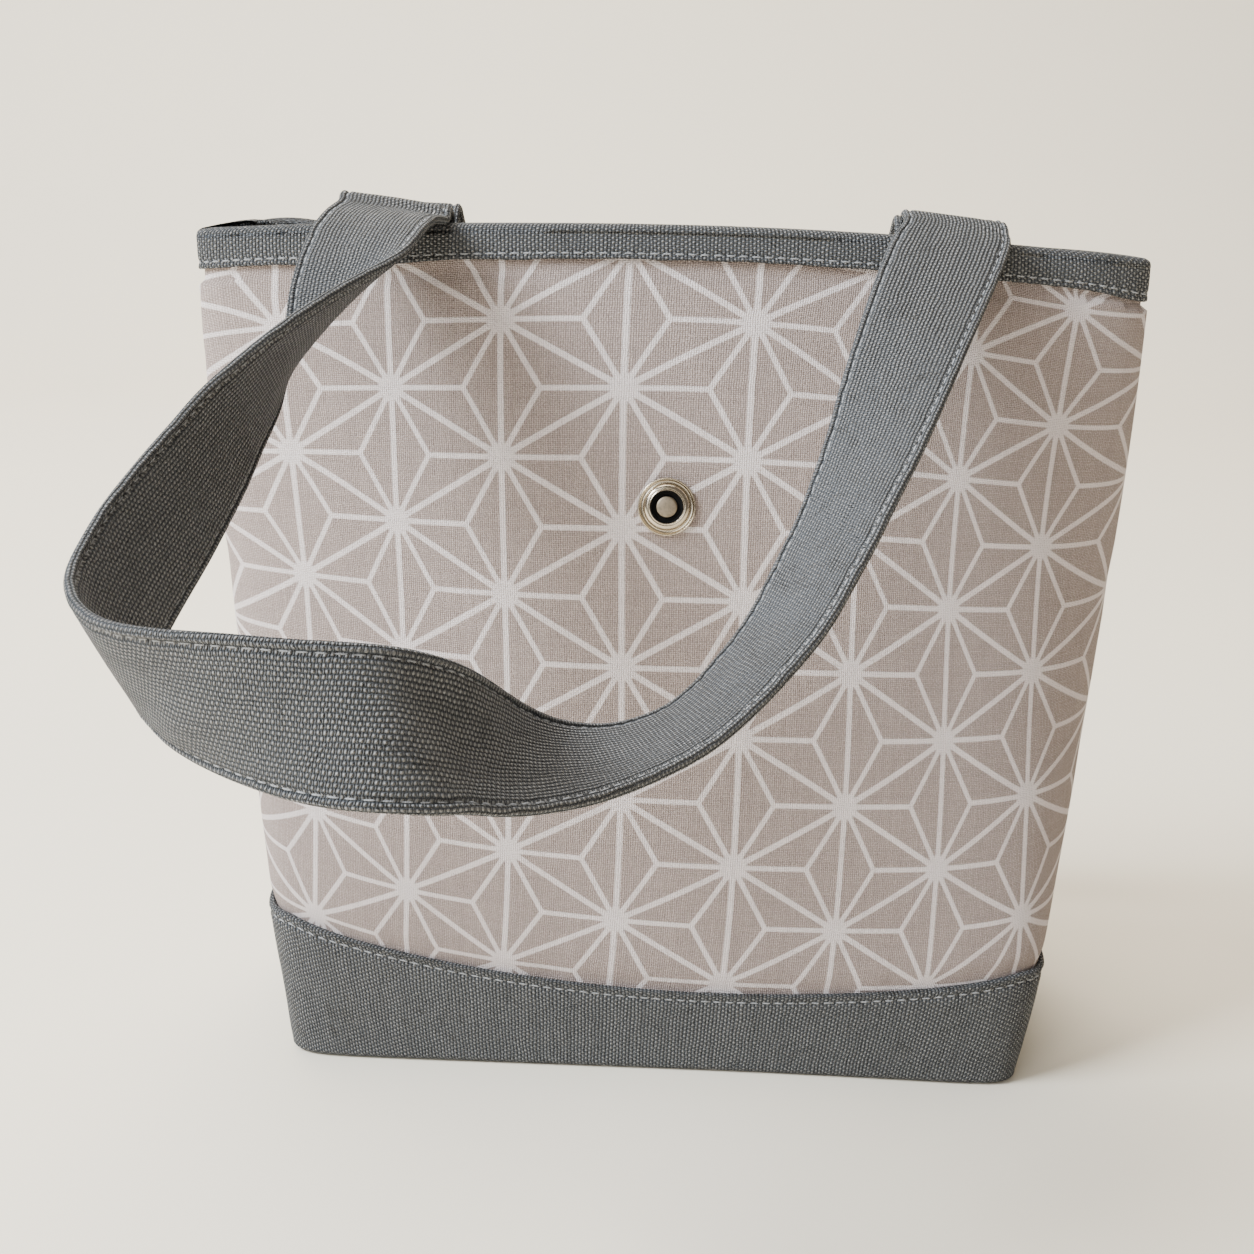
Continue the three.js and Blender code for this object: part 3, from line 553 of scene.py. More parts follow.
def makePrint(name, look):
    material, tree, place = newMaterial(name, flatCloth=True)
    m, ramp, mix, noiseAt, join = toolsFor(tree, mathNode, rangeNode, mixColour, noiseNode, joinVector)
    weave = placeGroup(tree, plainWeave, look, place=place)
    age = placeGroup(tree, clothAge, look, place=place)
    px, py = splitVector(tree, place)
    spreadX = m("MULTIPLY_ADD", noiseAt(place, 1.6), look["bleed"], px)
    spreadY = m("MULTIPLY_ADD", noiseAt(place, 1.9), look["bleed"], py)
    ink = placeGroup(tree, hempLeaf, look, place=join(spreadX, spreadY))["ink"]
    speck = noiseAt(place, look["speckSize"], 1.0)
    ground = mix(ramp(weave["tint"], 0.25, 0.75), look["groundDark"], look["ground"])
    ground = mix(ramp(speck, 0.62, 0.35, 0.0, look["speck"]), ground, look["gap"])
    # painted shade: the hollows between threads are darkened towards the gap colour
    ground = mix(m("MULTIPLY", weave["gap"], look["gapShadeAmount"]), ground, look["gap"])
    colour = mix(m("MULTIPLY", ink, ramp(weave["height"], 0.1, 0.75, 0.66, 0.96)), ground, look["ink"])
    height = m("ADD", m("MULTIPLY_ADD", speck, 0.9, weave["height"]), m("MULTIPLY", ink, 0.25))
    return feedShader(material, {
        "Base Color": mix(1.0, colour, join(age["shade"], age["shade"], age["shade"]), "MULTIPLY"),
        "Roughness": ramp(ink, 0.0, 1.0, 0.86, 0.78), "Normal": bumpNode(tree, height, look["depth"]),
        "Sheen Weight": 0.06, "Specular IOR Level": 0.2})


def makeMetal(name, look):
    material, tree, place = newMaterial(name)
    m, mix = toolsFor(tree, mathNode, mixColour)
    wear = placeGroup(tree, metalWear, look, place=place)
    hazy = m("MULTIPLY_ADD", wear["haze"], 0.22, look["roughness"])
    return feedShader(material, {
        "Base Color": mix(wear["haze"], look["base"], look["hazed"]),
        "Roughness": m("ADD", hazy, m("MULTIPLY", wear["scratch"], 0.2)),
        "Normal": bumpNode(tree, wear["scratch"], 0.002, 0.15), "Metallic": 1.0})


# Two shades with a grain: batting, board and the snap's seat, whose near black is painted shade in the snap's hole
def makeGrained(name, look):
    material, tree, place = newMaterial(name)
    ramp, mix, noiseAt = toolsFor(tree, rangeNode, mixColour, noiseNode)
    grain, dark = noiseAt(place, *look["grain"]), look["dark"]
    if "cloud" in look:
        dark = mix(noiseAt(place, 0.05, 3.0), dark, look["cloud"])
    return feedShader(material, {
        "Base Color": mix(grain, dark, look["pale"]),
        "Roughness": ramp(grain, *look["spread"], *look["roughness"]),
        "Normal": bumpNode(tree, grain, look["bump"]) if "bump" in look else None,
        "Specular IOR Level": look.get("specular")})


canvas = makeWoven("heatherCanvas", canvasCloth)
thread = makeWoven("sewingThread", threadCloth)
lining = makeWoven("liningCotton", liningCloth)
printed = makePrint("printedCotton", printCloth)
batting = makeGrained("batting", battingFluff)
board = makeGrained("stiffenerBoard", stiffenerBoard)
nickel = makeMetal("nickelPlate", nickelPlate)
seatShadeBlack = makeGrained("holeShadeBlack", holeShadeBlack)
dullDisc = makeMetal("dullStud", dullStud)
print("materials made")


# Sewing thread: short beads that lie along a line on the cloth

stitching = {
    "length": 2.75, "gap": 0.55, "radius": 0.27, "sink": 0.08, "sides": 6, "flatness": 0.85,
    # Each ring of a bead: its place along the bead, its size and its height
    "rings": ((0.0, 0.25, -0.9), (0.1, 0.8, -0.25), (0.3, 1.0, 0.25),
              (0.7, 1.0, 0.25), (0.9, 0.8, -0.25), (1.0, 0.25, -0.9)),
}
stitchPitch = stitching["length"] + stitching["gap"]


def stitchWave(run):
    return np.sin(run / stitchPitch * 2 * math.pi)


def addStitches(piece, points, normals):
    s = stitching
    distance = runLength(points)
    count = int(distance[-1] / stitchPitch)
    if count < 1:
        return
    share, grow, rise = np.array(s["rings"]).T
    pitch = distance[-1] / count
    bead = pitch - s["gap"]
    spots = ((np.arange(count) + 0.5) * pitch - bead / 2)[:, None] + share * bead
    place, up = [np.stack([np.interp(spots, distance, line[:, k]) for k in range(3)], -1) for line in (points, normals)]
    up = unit(up)
    across = unit(np.cross(unit(np.gradient(place, axis=1)), up))
    centre = place + up * (rise * s["radius"] - s["sink"])[:, None]
    angles = np.linspace(0, 2 * math.pi, s["sides"] + 1)
    spokes = (np.cos(angles)[:, None] * across[:, :, None]
              + s["flatness"] * np.sin(angles)[:, None] * up[:, :, None])
    rings = centre[:, :, None] + (grow * s["radius"])[:, None, None] * spokes
    flat = np.stack(np.broadcast_arrays(angles * s["radius"], spots[:, :, None]), -1)
    for i in range(count):
        addGrid(piece, rings[i], flat[i], 1)


# A row of stitches all the way round, on one ring of a closed strip
def addStitchRow(piece, grid, row):
    outward = unit(np.cross(np.gradient(grid[row], axis=0), grid[row + 1] - grid[row - 1]))
    flip = np.sign((outward[:, 1] * grid[row][:, 1]).mean())
    addStitches(piece, grid[row], outward * flip)


# One face of the bag as a grid: its places, and how far they are across and down the cloth
def layFace(look, side, depth, lowShare):
    turns = np.linspace(-math.pi / 2, math.pi / 2, look["columns"])
    low = lowShare(turns)
    share = low + (look["topShare"] - low) * np.linspace(0, 1, look["rows"])[:, None]
    turn = np.broadcast_to(turns, share.shape)
    place = wallPoint(turn, share, depth, side)
    across = runLength(place.transpose(1, 0, 2)).T
    down = runLength(place[::-1])[::-1]
    return turn, share, place, across, down, np.minimum(across, across[:, -1:] - across)


# Two faces of a cloth and the four edges between them. The side edges stay off the other half's.
def addShell(piece, outer, inner, laid, side, innerLook=0):
    for grid in (outer, inner):
        grid[:, [0, -1], 1] += side * bagForm["seamGap"]
    addGrid(piece, outer, laid, flip=side > 0)
    addGrid(piece, inner, laid, innerLook, flip=side < 0)
    for edge in (0, -1):
        addGrid(piece, np.stack([outer[edge], inner[edge]]), np.stack([laid[edge]] * 2), innerLook)
        addGrid(piece, np.stack([outer[:, edge], inner[:, edge]]), np.stack([laid[:, edge]] * 2))


# The two quilted walls: printed cotton over batting

frontWallLook = {
    "columns": 190, "rows": 150, "topShare": 0.998, "lapShare": 0.8, "seed": 3.0,
    "unevenHeight": 0.55, "unevenSize": 52.0, "creaseHeight": 0.16, "creaseSize": 15.0,
    "puckerHeight": 1.15, "puckerSize": 24.0, "puckerReach": 15.0,
    "fineHeight": 0.32, "fineSize": 8.0, "fineReach": 8.0, "bindingReach": 7.0,
    "seamDip": 0.7, "seamReach": 3.0, "sideDip": 0.1, "sideReach": 2.0, "cornerReach": 16.0,
    "sideBulge": 1.2, "bulgeReach": 34.0, "rightBulge": 2.0, "rightReach": 20.0, "rightDown": 45.0,
    "swell": 0.25, "mostOut": -1.75, "mostIn": 1.6, "underSeam": 0.15, "snapReach": 13.0,
}
backWallLook = dict(frontWallLook, columns=150, rows=110, seed=11.0)
# The print isn't laid quite square: how its place on the cloth differs from the place on the wall
printLay = {
    "x": (-2.2, -11.1, 6.8, 3.5, 11.9, -8.0, 22.7, -1.7, -2.9, 2.7, 1.3, -10.3),
    "y": (2.5, -1.0, 3.6, -7.7, 5.6, -7.1, -6.3, 12.0, -3.9, 2.9, 1.4, 3.5),
    "firstColumn": -10.7, "firstStar": 7.5, "back": (6.0, 4.0),
}


def layPrint(s, w, side):
    if side > 0:
        return np.stack([s, w], -1) + np.array(printLay["back"])
    a, b = s / 100, w / 100
    terms = (1, a, b, a * a, a * b, b * b, a ** 3, a * a * b, a * b * b, b ** 3, a ** 4, a ** 5)
    x = s + sum(c * t for c, t in zip(printLay["x"], terms)) - printLay["firstColumn"]
    y = w + sum(c * t for c, t in zip(printLay["y"], terms)) - printLay["firstStar"]
    return np.stack([x, y], -1)


def buildWall(name, side, look, replaced):
    def seamFoot(turns):
        return shareOfHeight(turns, 0.0, side, lambda x: seamHeightAt(x) - bagForm["seamLap"] * look["lapShare"])

    turn, share, place, across, down, toSide = layFace(look, side, 0.0, seamFoot)
    across = across - across[:, -1:] / 2
    aboveSeam = place[..., 2] - seamHeightAt(place[..., 0])
    belowBinding = down - bindingHeightAt(place[..., 0]) - 0.4
    nearest = np.minimum(aboveSeam, belowBinding)

    def bumps(x, y, kind, seed):
        return softNoise(np.stack([x, y], -1), look[kind + "Size"], look["seed"] + seed) * look[kind + "Height"]

    out = bumps(across, down, "uneven", 0) + bumps(across, down * 0.6, "crease", 1)
    out = out + bumps(toSide * 0.35, down, "pucker", 2) * np.exp(-toSide / look["puckerReach"])
    out = out + bumps(toSide * 0.35, down, "fine", 3) * np.exp(-toSide / look["fineReach"])
    edges = (np.exp(-np.abs(aboveSeam) / look["fineReach"])
             + 0.7 * np.exp(-np.abs(belowBinding) / look["bindingReach"]))
    out = out + bumps(across, aboveSeam * 0.3, "fine", 4) * edges
    out = out + look["sideBulge"] * bellAt(toSide, look["bulgeReach"])
    rightSide = bellAt(toSide, look["rightReach"]) * bellAt(down, look["rightDown"]) * (across > 0)
    out = out + look["rightBulge"] * rightSide
    dip = look["seamDip"] * sum(bellAt(np.maximum(d, 0), look["seamReach"]) for d in (aboveSeam, belowBinding))
    dip = dip * (1 - 0.75 * bellAt(toSide, look["cornerReach"])) + look["sideDip"] * bellAt(toSide, look["sideReach"])
    # The wall is held flat round the snap, and thin under the seam and the binding
    toSnap = np.hypot(place[..., 0], place[..., 2] - bagForm["snapHeight"])
    free = 1 - bellAt(toSnap, look["snapReach"]) * (side < 0)
    hidden = np.clip(1 + nearest / 1.2, 0.0, 1.0)
    depth = np.clip((dip - (out + look["swell"]) * free) * hidden, look["mostOut"], look["mostIn"])
    depth = np.where(nearest < -0.6, np.maximum(depth, look["underSeam"]), depth)
    piece = newPiece()
    addShell(piece, wallPoint(turn, share, depth, side), wallPoint(turn, share, bagForm["paddingInner"] - 0.1, side),
             layPrint(across, down, side), side, 1)
    finishPiece(name, piece, [printed, batting], replaced)


buildWall("frontWall", -1, frontWallLook, ["front_panel", "front_padding"])
buildWall("backWall", 1, backWallLook, ["back_panel", "back_padding"])
print("walls made")


# The lining hangs a little loose inside the walls

liningLook = {
    "columns": 110, "rows": 60, "topShare": 0.985, "foot": 5.6, "sideFade": 12.0, "rimFade": 22.0, "floorFade": 12.0,
    "looseHeight": 0.7, "looseSize": 38.0, "wrinkleHeight": 0.22, "wrinkleSize": 14.0, "outerShare": 0.6,
}


def buildLining(name, side, replaced):
    look = liningLook
    turn, share, place, across, down, toSide = layFace(
        look, side, bagForm["liningOuter"], lambda turns: np.full_like(turns, look["foot"] / bagForm["height"]))
    laid = np.stack([across, down], -1)
    free = np.clip(toSide / look["sideFade"], 0, 1) * np.clip(down / look["rimFade"], 0, 1)
    free = free * np.clip((place[..., 2] - bagForm["floorTop"]) / look["floorFade"], 0, 1)
    loose = (softNoise(laid, look["looseSize"], 21.0 + side) + 0.35) * look["looseHeight"]
    wrinkle = softNoise(laid * np.array([1.0, 0.45]), look["wrinkleSize"], 25.0 + side) * look["wrinkleHeight"]
    sag = np.maximum(loose + wrinkle, 0) * free
    piece = newPiece()
    addShell(piece, wallPoint(turn, share, bagForm["liningOuter"] + sag * look["outerShare"], side),
             wallPoint(turn, share, bagForm["liningInner"] + sag, side), laid, side)
    finishPiece(name, piece, [lining], [replaced])


buildLining("frontLiningCloth", -1, "front_lining")
buildLining("backLiningCloth", 1, "back_lining")


# Flat pieces in the base: a rounded slab with the base's outline

slabShrinks = (0.0, 0.12, 0.3, 0.5, 0.7, 0.86, 0.96)
floorLook = {"depth": 4.0, "low": 5.5, "high": 6.0, "edgeRound": 0.2, "dimple": 0.12, "dimpleSize": 26.0}
basePadLook = {"depth": 3.2, "low": 1.4, "high": 3.4, "edgeRound": 0.9, "dimple": 0.0, "dimpleSize": 26.0}


def buildSlab(name, look, material, replaced):
    turns, sides = loopTurns(160)
    low, high, edgeRound = look["low"], look["high"], look["edgeRound"]

    def slabRing(inset, shrink, z):
        return loopPoints(turns, sides, 0.001, look["depth"] + inset) * (1 - shrink, 1 - shrink, 0) + (0, 0, z)

    grid = [slabRing(edgeRound, shrink, low) for shrink in slabShrinks[::-1]]
    for angle in np.linspace(0, math.pi, 5)[1:-1]:
        z = (low + high) / 2 - math.cos(angle) * (high - low) / 2
        grid.append(slabRing(edgeRound * (1 - math.sin(angle)), 0, z))
    for shrink in slabShrinks:
        ring = slabRing(edgeRound, shrink, high)
        ring[:, 2] += softNoise(ring[:, :2], look["dimpleSize"], 31.0) * look["dimple"] * min(1, shrink * 6)
        grid.append(ring)
    grid = np.array(grid)
    piece = newPiece()
    addGrid(piece, grid, grid[..., :2].copy())
    for ring, flip in ((grid[0], True), (grid[-1], False)):
        cap = np.stack([ring, np.broadcast_to(ring.mean(0), ring.shape)])
        addGrid(piece, cap, cap[..., :2], flip=flip)
    return finishPiece(name, piece, [material], [replaced])


buildSlab("floorLining", floorLook, lining, "base_lining")
buildSlab("basePad", basePadLook, batting, "base_padding")
nodes["base_board"].data.materials.clear()
nodes["base_board"].data.materials.append(board)
print("lining and base pad made")


# The canvas base: a boxed cup with a turned-over upper edge and a row of stitches under it

baseLook = {
    "columns": 420, "cornerRadius": 2.1, "thick": 1.1, "coverGap": 0.35, "edgeRound": 0.75,
    "edgeAngles": (-80, -45, -10, 25, 60, 90), "drops": (0.9, 1.5, 1.9, 2.2, 2.5, 2.8, 3.1, 3.6, 4.4, 5.6),
    "cornerAngles": (15, 30, 45, 60, 75, 90), "turnedIn": 1.4,
    "stitchDrop": 2.5, "stitchGroove": 0.32, "stitchPull": 0.12, "unevenHeight": 0.35, "unevenSize": 36.0,
    "fineHeight": 0.16, "fineSize": 7.0, "footFade": 9.0,
    "sideSeam": 0.55, "sideWidth": 1.1, "sideRidge": 0.25, "ridgePlace": 2.4, "ridgeWidth": 1.4,
    "inward": 0.12, "mostOut": -1.95, "mostIn": -0.55,
}


def buildBase():
    look = baseLook
    turns, sides = loopTurns(look["columns"])
    radius, edgeRound = look["cornerRadius"], look["edgeRound"]
    outerDepth = 0.05 - bagForm["canvasProud"]
    topShares = [shareOfHeight(turns, outerDepth, side, seamHeightAt) for side in (-1, 1)]
    topEdge = loopPoints(turns, sides, np.where(sides < 0, *topShares), outerDepth)
    rim = rimHeights(topEdge, sides)
    around, topZ = runLength(topEdge), topEdge[:, 2]
    toSeam = np.min([np.abs(around - around[k]) for k in (0, look["columns"] // 2, -1)], axis=0)
    sideSeam = look["sideSeam"] * bellAt(toSeam, look["sideWidth"])
    ridge = look["sideRidge"] * bellAt(toSeam - look["ridgePlace"], look["ridgeWidth"])
    piece = newPiece()
    grid, runs = [], []

    def addRing(z, depth, run):
        grid.append(loopPoints(turns, sides, z / rim, depth))
        runs.append(run)
        return grid[-1]

    def addWallRing(z):
        drop = topZ - z
        spot = np.column_stack([around, z])
        soft = softNoise(spot, look["unevenSize"], 41.0) * look["unevenHeight"]
        soft = soft + softNoise(spot * np.array([1, 0.5]), look["fineSize"], 43.0) * look["fineHeight"]
        off = drop - look["stitchDrop"]
        sewn = look["stitchGroove"] * bellAt(off, 0.55) + look["stitchPull"] * bellAt(off, 1.6) * stitchWave(around)
        depth = outerDepth + sewn + sideSeam - ridge - soft * np.clip(z / look["footFade"], 0, 1) + look["inward"]
        addRing(z, np.clip(depth, look["mostOut"], look["mostIn"]), drop)

    def addRings(rings, rows, flip=False):
        addGrid(piece, np.array(rings), np.stack(np.broadcast_arrays(around, np.array(rows)), -1), flip=flip)

    for angle in look["edgeAngles"]:  # from inside the seam over the top
        a = math.radians(angle)
        z = topZ - edgeRound * (1 - math.cos(a)) * 0.9
        addRing(z, outerDepth + edgeRound * (1 - math.sin(a)), topZ - z - look["turnedIn"] * (90 - angle) / 90)
    for drop in look["drops"]:
        addWallRing(topZ - drop)
    for share in np.linspace(0, 1, 16)[1:]:
        addWallRing(lerp(topZ - look["drops"][-1], radius, share))
    for angle in look["cornerAngles"]:
        a = math.radians(angle)
        z = radius * (1 - math.sin(a))
        addRing(z, outerDepth + radius * (1 - math.cos(a)) + sideSeam, topZ - radius + radius * a)[:, 2] = z
    addRings(grid, runs)
    bottom = np.array([grid[-1]] + [grid[-1] * (share, share, 0) for share in (0.9, 0.7, 0.4, 0.0)])
    addGrid(piece, bottom, bottom[..., :2] + 400.0)
    inner, innerRuns = [grid[0]], [runs[0]]
    for share in (0.0, 0.3, 0.6, 1.0):
        z = lerp(topZ - look["turnedIn"], radius, share)
        inner.append(loopPoints(turns, sides, z / rim, -look["coverGap"]))
        innerRuns.append(topZ - z + 3)
    low = inner[-1] * (0.985, 0.985, 0) + (0, 0, look["thick"])
    addRings(inner + [low], innerRuns + [topZ + 6], flip=True)
    floor = np.stack([low, low * (0, 0, 1)])
    addGrid(piece, floor, floor[..., :2], flip=True)
    addStitchRow(piece, grid, len(look["edgeAngles"]) + look["drops"].index(look["stitchDrop"]))
    finishPiece("canvasBase", piece, [canvas, thread], ["base_cover"])


buildBase()
print("canvas base made")


# The rim binding: one strip folded over the raw edges, stitched near its lower edge

bindingLook = {
    "columns": 620, "thick": 1.1, "coverGap": 0.45, "innerDepth": 4.4, "stitchRise": 1.5, "groove": 0.3,
    "waveHeight": 0.3, "waveSize": 30.0, "puckerHeight": 0.14, "hemHeight": 0.35, "hemSize": 11.0,
    "softHeight": 0.22, "softSize": 17.0, "hemRound": 0.5, "topRound": 2.1,
    "rises": (0.9, 1.2, 1.5, 1.8, 2.2, 3.0, 4.0, 5.0, 6.0, 6.7), "falls": (2.0, 3.6, 5.2, 6.6, 7.2, 7.8, 8.3),
    "topAngles": (0, 14, 28, 45, 65, 90, 115, 135, 152, 166, 180), "foldRuns": (1.0, 10.0, 14.0, 23.0, 24.0),
}


def buildBinding():
    look = bindingLook
    turns, sides = loopTurns(look["columns"])
    proud, height = bagForm["canvasProud"], bagForm["bindingHeight"]
    foot = proud - height
    outerFace, innerFace = 0.05 - proud, look["innerDepth"] + look["thick"]
    middle, half = (outerFace + innerFace) / 2, (innerFace - outerFace) / 2
    topRing = loopPoints(turns, sides, 1.0, outerFace)
    around = runLength(topRing)
    stretch = (bindingHeightAt(topRing[:, 0]) - proud) / -foot
    lift = bindingLift(topRing[:, 0], sides)

    def waves(kind, up, seed):
        return softNoise(np.column_stack([around, around * 0 + up]), look[kind + "Size"], seed) * look[kind + "Height"]

    def ring(depth, up):
        rim = rimHeights(loopPoints(turns, sides, 1.0, depth), sides)
        points = loopPoints(turns, sides, 1 + np.minimum(0, up) * stretch / rim, depth)
        points[:, 2] += np.maximum(0, up) + lift
        return points

    # The strip's section: depth in the wall, height from the rim, and height from the foot where it is sewn
    spots = []
    for angle in (0, 45, 90):
        a = math.radians(angle)
        spots.append((outerFace + look["hemRound"] * (1 - math.sin(a)), foot + look["hemRound"] * (1 - math.cos(a)), 0))
    spots += [(outerFace, foot + rise, rise) for rise in look["rises"]]
    stitchRow = 3 + look["rises"].index(look["stitchRise"])
    for angle in look["topAngles"]:
        a = math.radians(angle)
        squash = math.copysign(abs(math.cos(a)) ** 0.75, math.cos(a))
        spots.append((middle - half * squash, proud - look["topRound"] * (1 - math.sin(a) ** 0.8), 0))
    spots += [(innerFace, proud - fall, height - fall) for fall in look["falls"]]
    spots.append((innerFace - 0.5, foot - 0.05, 0))
    wave, hem = waves("wave", 0, 51.0), waves("hem", 0, 53.0)
    grid = []
    for depth, up, rise in spots:
        shift = waves("soft", up, 55.0) * (-1 if rise else -0.4)
        if rise:
            off = rise - look["stitchRise"]
            shift = shift + look["groove"] * bellAt(off, 0.5)
            shift = shift + look["puckerHeight"] * bellAt(off, 1.3) * stitchWave(around)
        place = np.clip(depth + (shift if depth < middle else -shift), -proud - 0.4, innerFace + 0.5)
        grid.append(ring(place, up + hem * (up < foot + 1) + wave * np.clip((up - foot) / height, 0, 1)))
    # the inner face of the fold, closed behind
    behind, gap, low = innerFace - look["thick"], look["coverGap"], foot + 0.3
    back = [ring(depth, up) for depth, up in ((behind, low), (behind, gap), (-gap, gap), (-gap, low))]
    run = runLength(np.array(spots)[:, :2])
    run = np.concatenate([run, run[-1] + np.array(look["foldRuns"])])
    piece = newPiece()
    addGrid(piece, np.array(grid + back + grid[:1]), np.stack(np.broadcast_arrays(around, run[:, None]), -1))
    addStitchRow(piece, grid, stitchRow)
    finishPiece("rimBinding", piece, [canvas, thread], ["rim_binding"])


buildBinding()
print("rim binding made")


# Straps and tapes: a ribbon ruled between its two edges, with rounded, stitched edges

# The section: place across, height and flat place, round the ribbon
def ribbonProfile(look):
    width, stitchIn, half = look["width"], look["stitchIn"], look["thick"] / 2
    reach = width / 2 - half * 0.95
    inward = [0.0, 0.35, 2.0, 3.4, 5.6, 8.6] + [stitchIn - d for d in (1.05, 0.8, 0.55, 0.3, 0)]
    across = {round(s * (reach - round(d, 3)), 3) for d in inward if 0 <= round(d, 3) < reach for s in (-1, 1)}
    top, around = [], half * math.pi
    for u in sorted(across | {0.0}):
        d = width / 2 - abs(u)
        crown = 0.12 * half * max(0, 1 - abs(u) / reach) ** 0.5
        rise = half * (1 - 0.10 * (1 - bellAt(d - 0.9, 1.2))) - look["groove"] * bellAt(d - stitchIn, 0.5) + crown
        top.append((u, rise, u))
    edge = []
    for angle in (60, 30, 0, -30, -60):
        a = math.radians(angle)
        edge.append((reach + half * 0.95 * math.cos(a), half * math.sin(a), reach + half * math.radians(90 - angle)))
    under = [(u, -h, 2 * reach + around - u) for u, h, v in top[::-1]]
    other = [(-u, -h, 2 * reach + around + v) for u, h, v in edge]
    return np.array(top + edge + under + other + [(top[0][0], top[0][1], 3 * reach + 2 * around)])


# Smooths an edge of a strap, but not near its sewn ends
def softenEdge(edge, look):
    weights = np.exp(-(np.arange(-8, 9) / look["smooth"]) ** 2)
    weights /= weights.sum()
    padded = np.pad(edge, ((8, 8), (0, 0)), "edge")
    soft = np.stack([np.convolve(padded[:, k], weights, "valid") for k in range(3)], -1)
    order = np.arange(len(edge))
    toEnd = np.minimum(order, order[::-1]) * look["step"] - look["keepEnds"]
    return lerp(edge, soft, np.clip(toEnd / 25.0, 0, 1)[:, None])


def addRibbon(piece, stations, look, taper=None):
    path = smoothCurve(stations, look["step"])
    a, b = path[:, :3], path[:, 3:6]
    if "smooth" in look:
        a, b = softenEdge(a, look), softenEdge(b, look)
    middle, across = (a + b) / 2, b - a
    tangent = unit(np.gradient(middle, axis=0))
    length = runLength(middle)
    ring = ribbonProfile(look)
    share = ring[:, 0] / look["width"] * (taper(length)[:, None] if taper else np.ones((len(path), 1)))
    spot = middle[:, None] + across[:, None] * share[..., None]
    along = np.gradient(middle, axis=0)[:, None] + np.gradient(across, axis=0)[:, None] * share[..., None]
    normal = unit(np.cross(unit(along), across[:, None]))
    u = share * look["width"]
    v = length[:, None] + (across * tangent).sum(-1)[:, None] * share
    crumple = np.stack([u, v], -1)
    soft = softNoise(crumple, look["softSize"], look["seed"]) * look["softHeight"]
    soft = soft + softNoise(crumple * np.array([1.0, 0.5]), look["fineSize"], look["seed"] + 1) * look["fineHeight"]
    for crease in look.get("creases", []):
        du, dv, turn = u - crease["across"], v - crease["along"], math.radians(crease["turn"])
        ridge = bellAt(du * math.cos(turn) + dv * math.sin(turn), crease["width"])
        soft = soft + crease["height"] * ridge * bellAt(dv * math.cos(turn) - du * math.sin(turn), crease["length"])
    pulled = 0.10 * bellAt(look["width"] / 2 - np.abs(u) - look["stitchIn"], 1.0) * stitchWave(v)
    fade = np.clip(np.minimum(length, length[-1] - length) / look["fadeEnds"], 0, 1)[:, None]
    points = spot + normal * (ring[:, 1] + soft * fade - np.sign(ring[:, 1]) * pulled)[..., None]
    flat = np.stack(np.broadcast_arrays(ring[:, 2], v), -1)
    addGrid(piece, points, flat)
    for end, way in ((0, -1), (-1, 1)):
        out = tangent[end] * way * look["thick"]
        cap = [points[end], (points[end] + spot[end]) / 2 + out * 0.28, spot[end] + out * 0.34]
        capFlat = [flat[end] + (0, run * way) for run in (0, 0.6, 1.2)]
        addGrid(piece, np.stack(cap), np.stack(capFlat), flip=end == 0)
    if look["stitches"]:
        for face in (1, -1):
            for edgeSide in (-1, 1):
                wanted = edgeSide * (look["width"] / 2 - look["stitchIn"])
                column = np.argmin(np.abs(ring[:, 0] - wanted) + 1000 * (np.sign(ring[:, 1]) != face))
                addStitches(piece, points[:, column], normal[:, column] * face)


strapLook = {
    "width": 29.0, "thick": 2.4, "stitchIn": 2.0, "groove": 0.6, "step": 2.0, "smooth": 2.6, "keepEnds": 46.0,
    "softHeight": 0.42, "softSize": 24.0, "fineHeight": 0.2, "fineSize": 8.0, "fadeEnds": 30.0, "stitches": True,
}
# Where each handle folds over the rim: side, the fold's middle and radius, and the sewn end's foot
frontFold = {
    "side": -1, "middle": (-9.827, 222.165), "radius": 6.087, "past": 30.0, "footDepth": 5.5, "endLength": 32.0,
    "leadOut": 2.5, "clearance": 1.7, "rightTilt": (0.0, -3.2), "leftTilt": (-2.6, 1.2), "rightShift": -2.0,
}
backFold = dict(frontFold, side=1, middle=(9.679, 219.459), radius=5.939,
                rightTilt=(0.0, -0.8), leftTilt=(0.4, 0.6), rightShift=0.0)
handleSpacing = 145.0

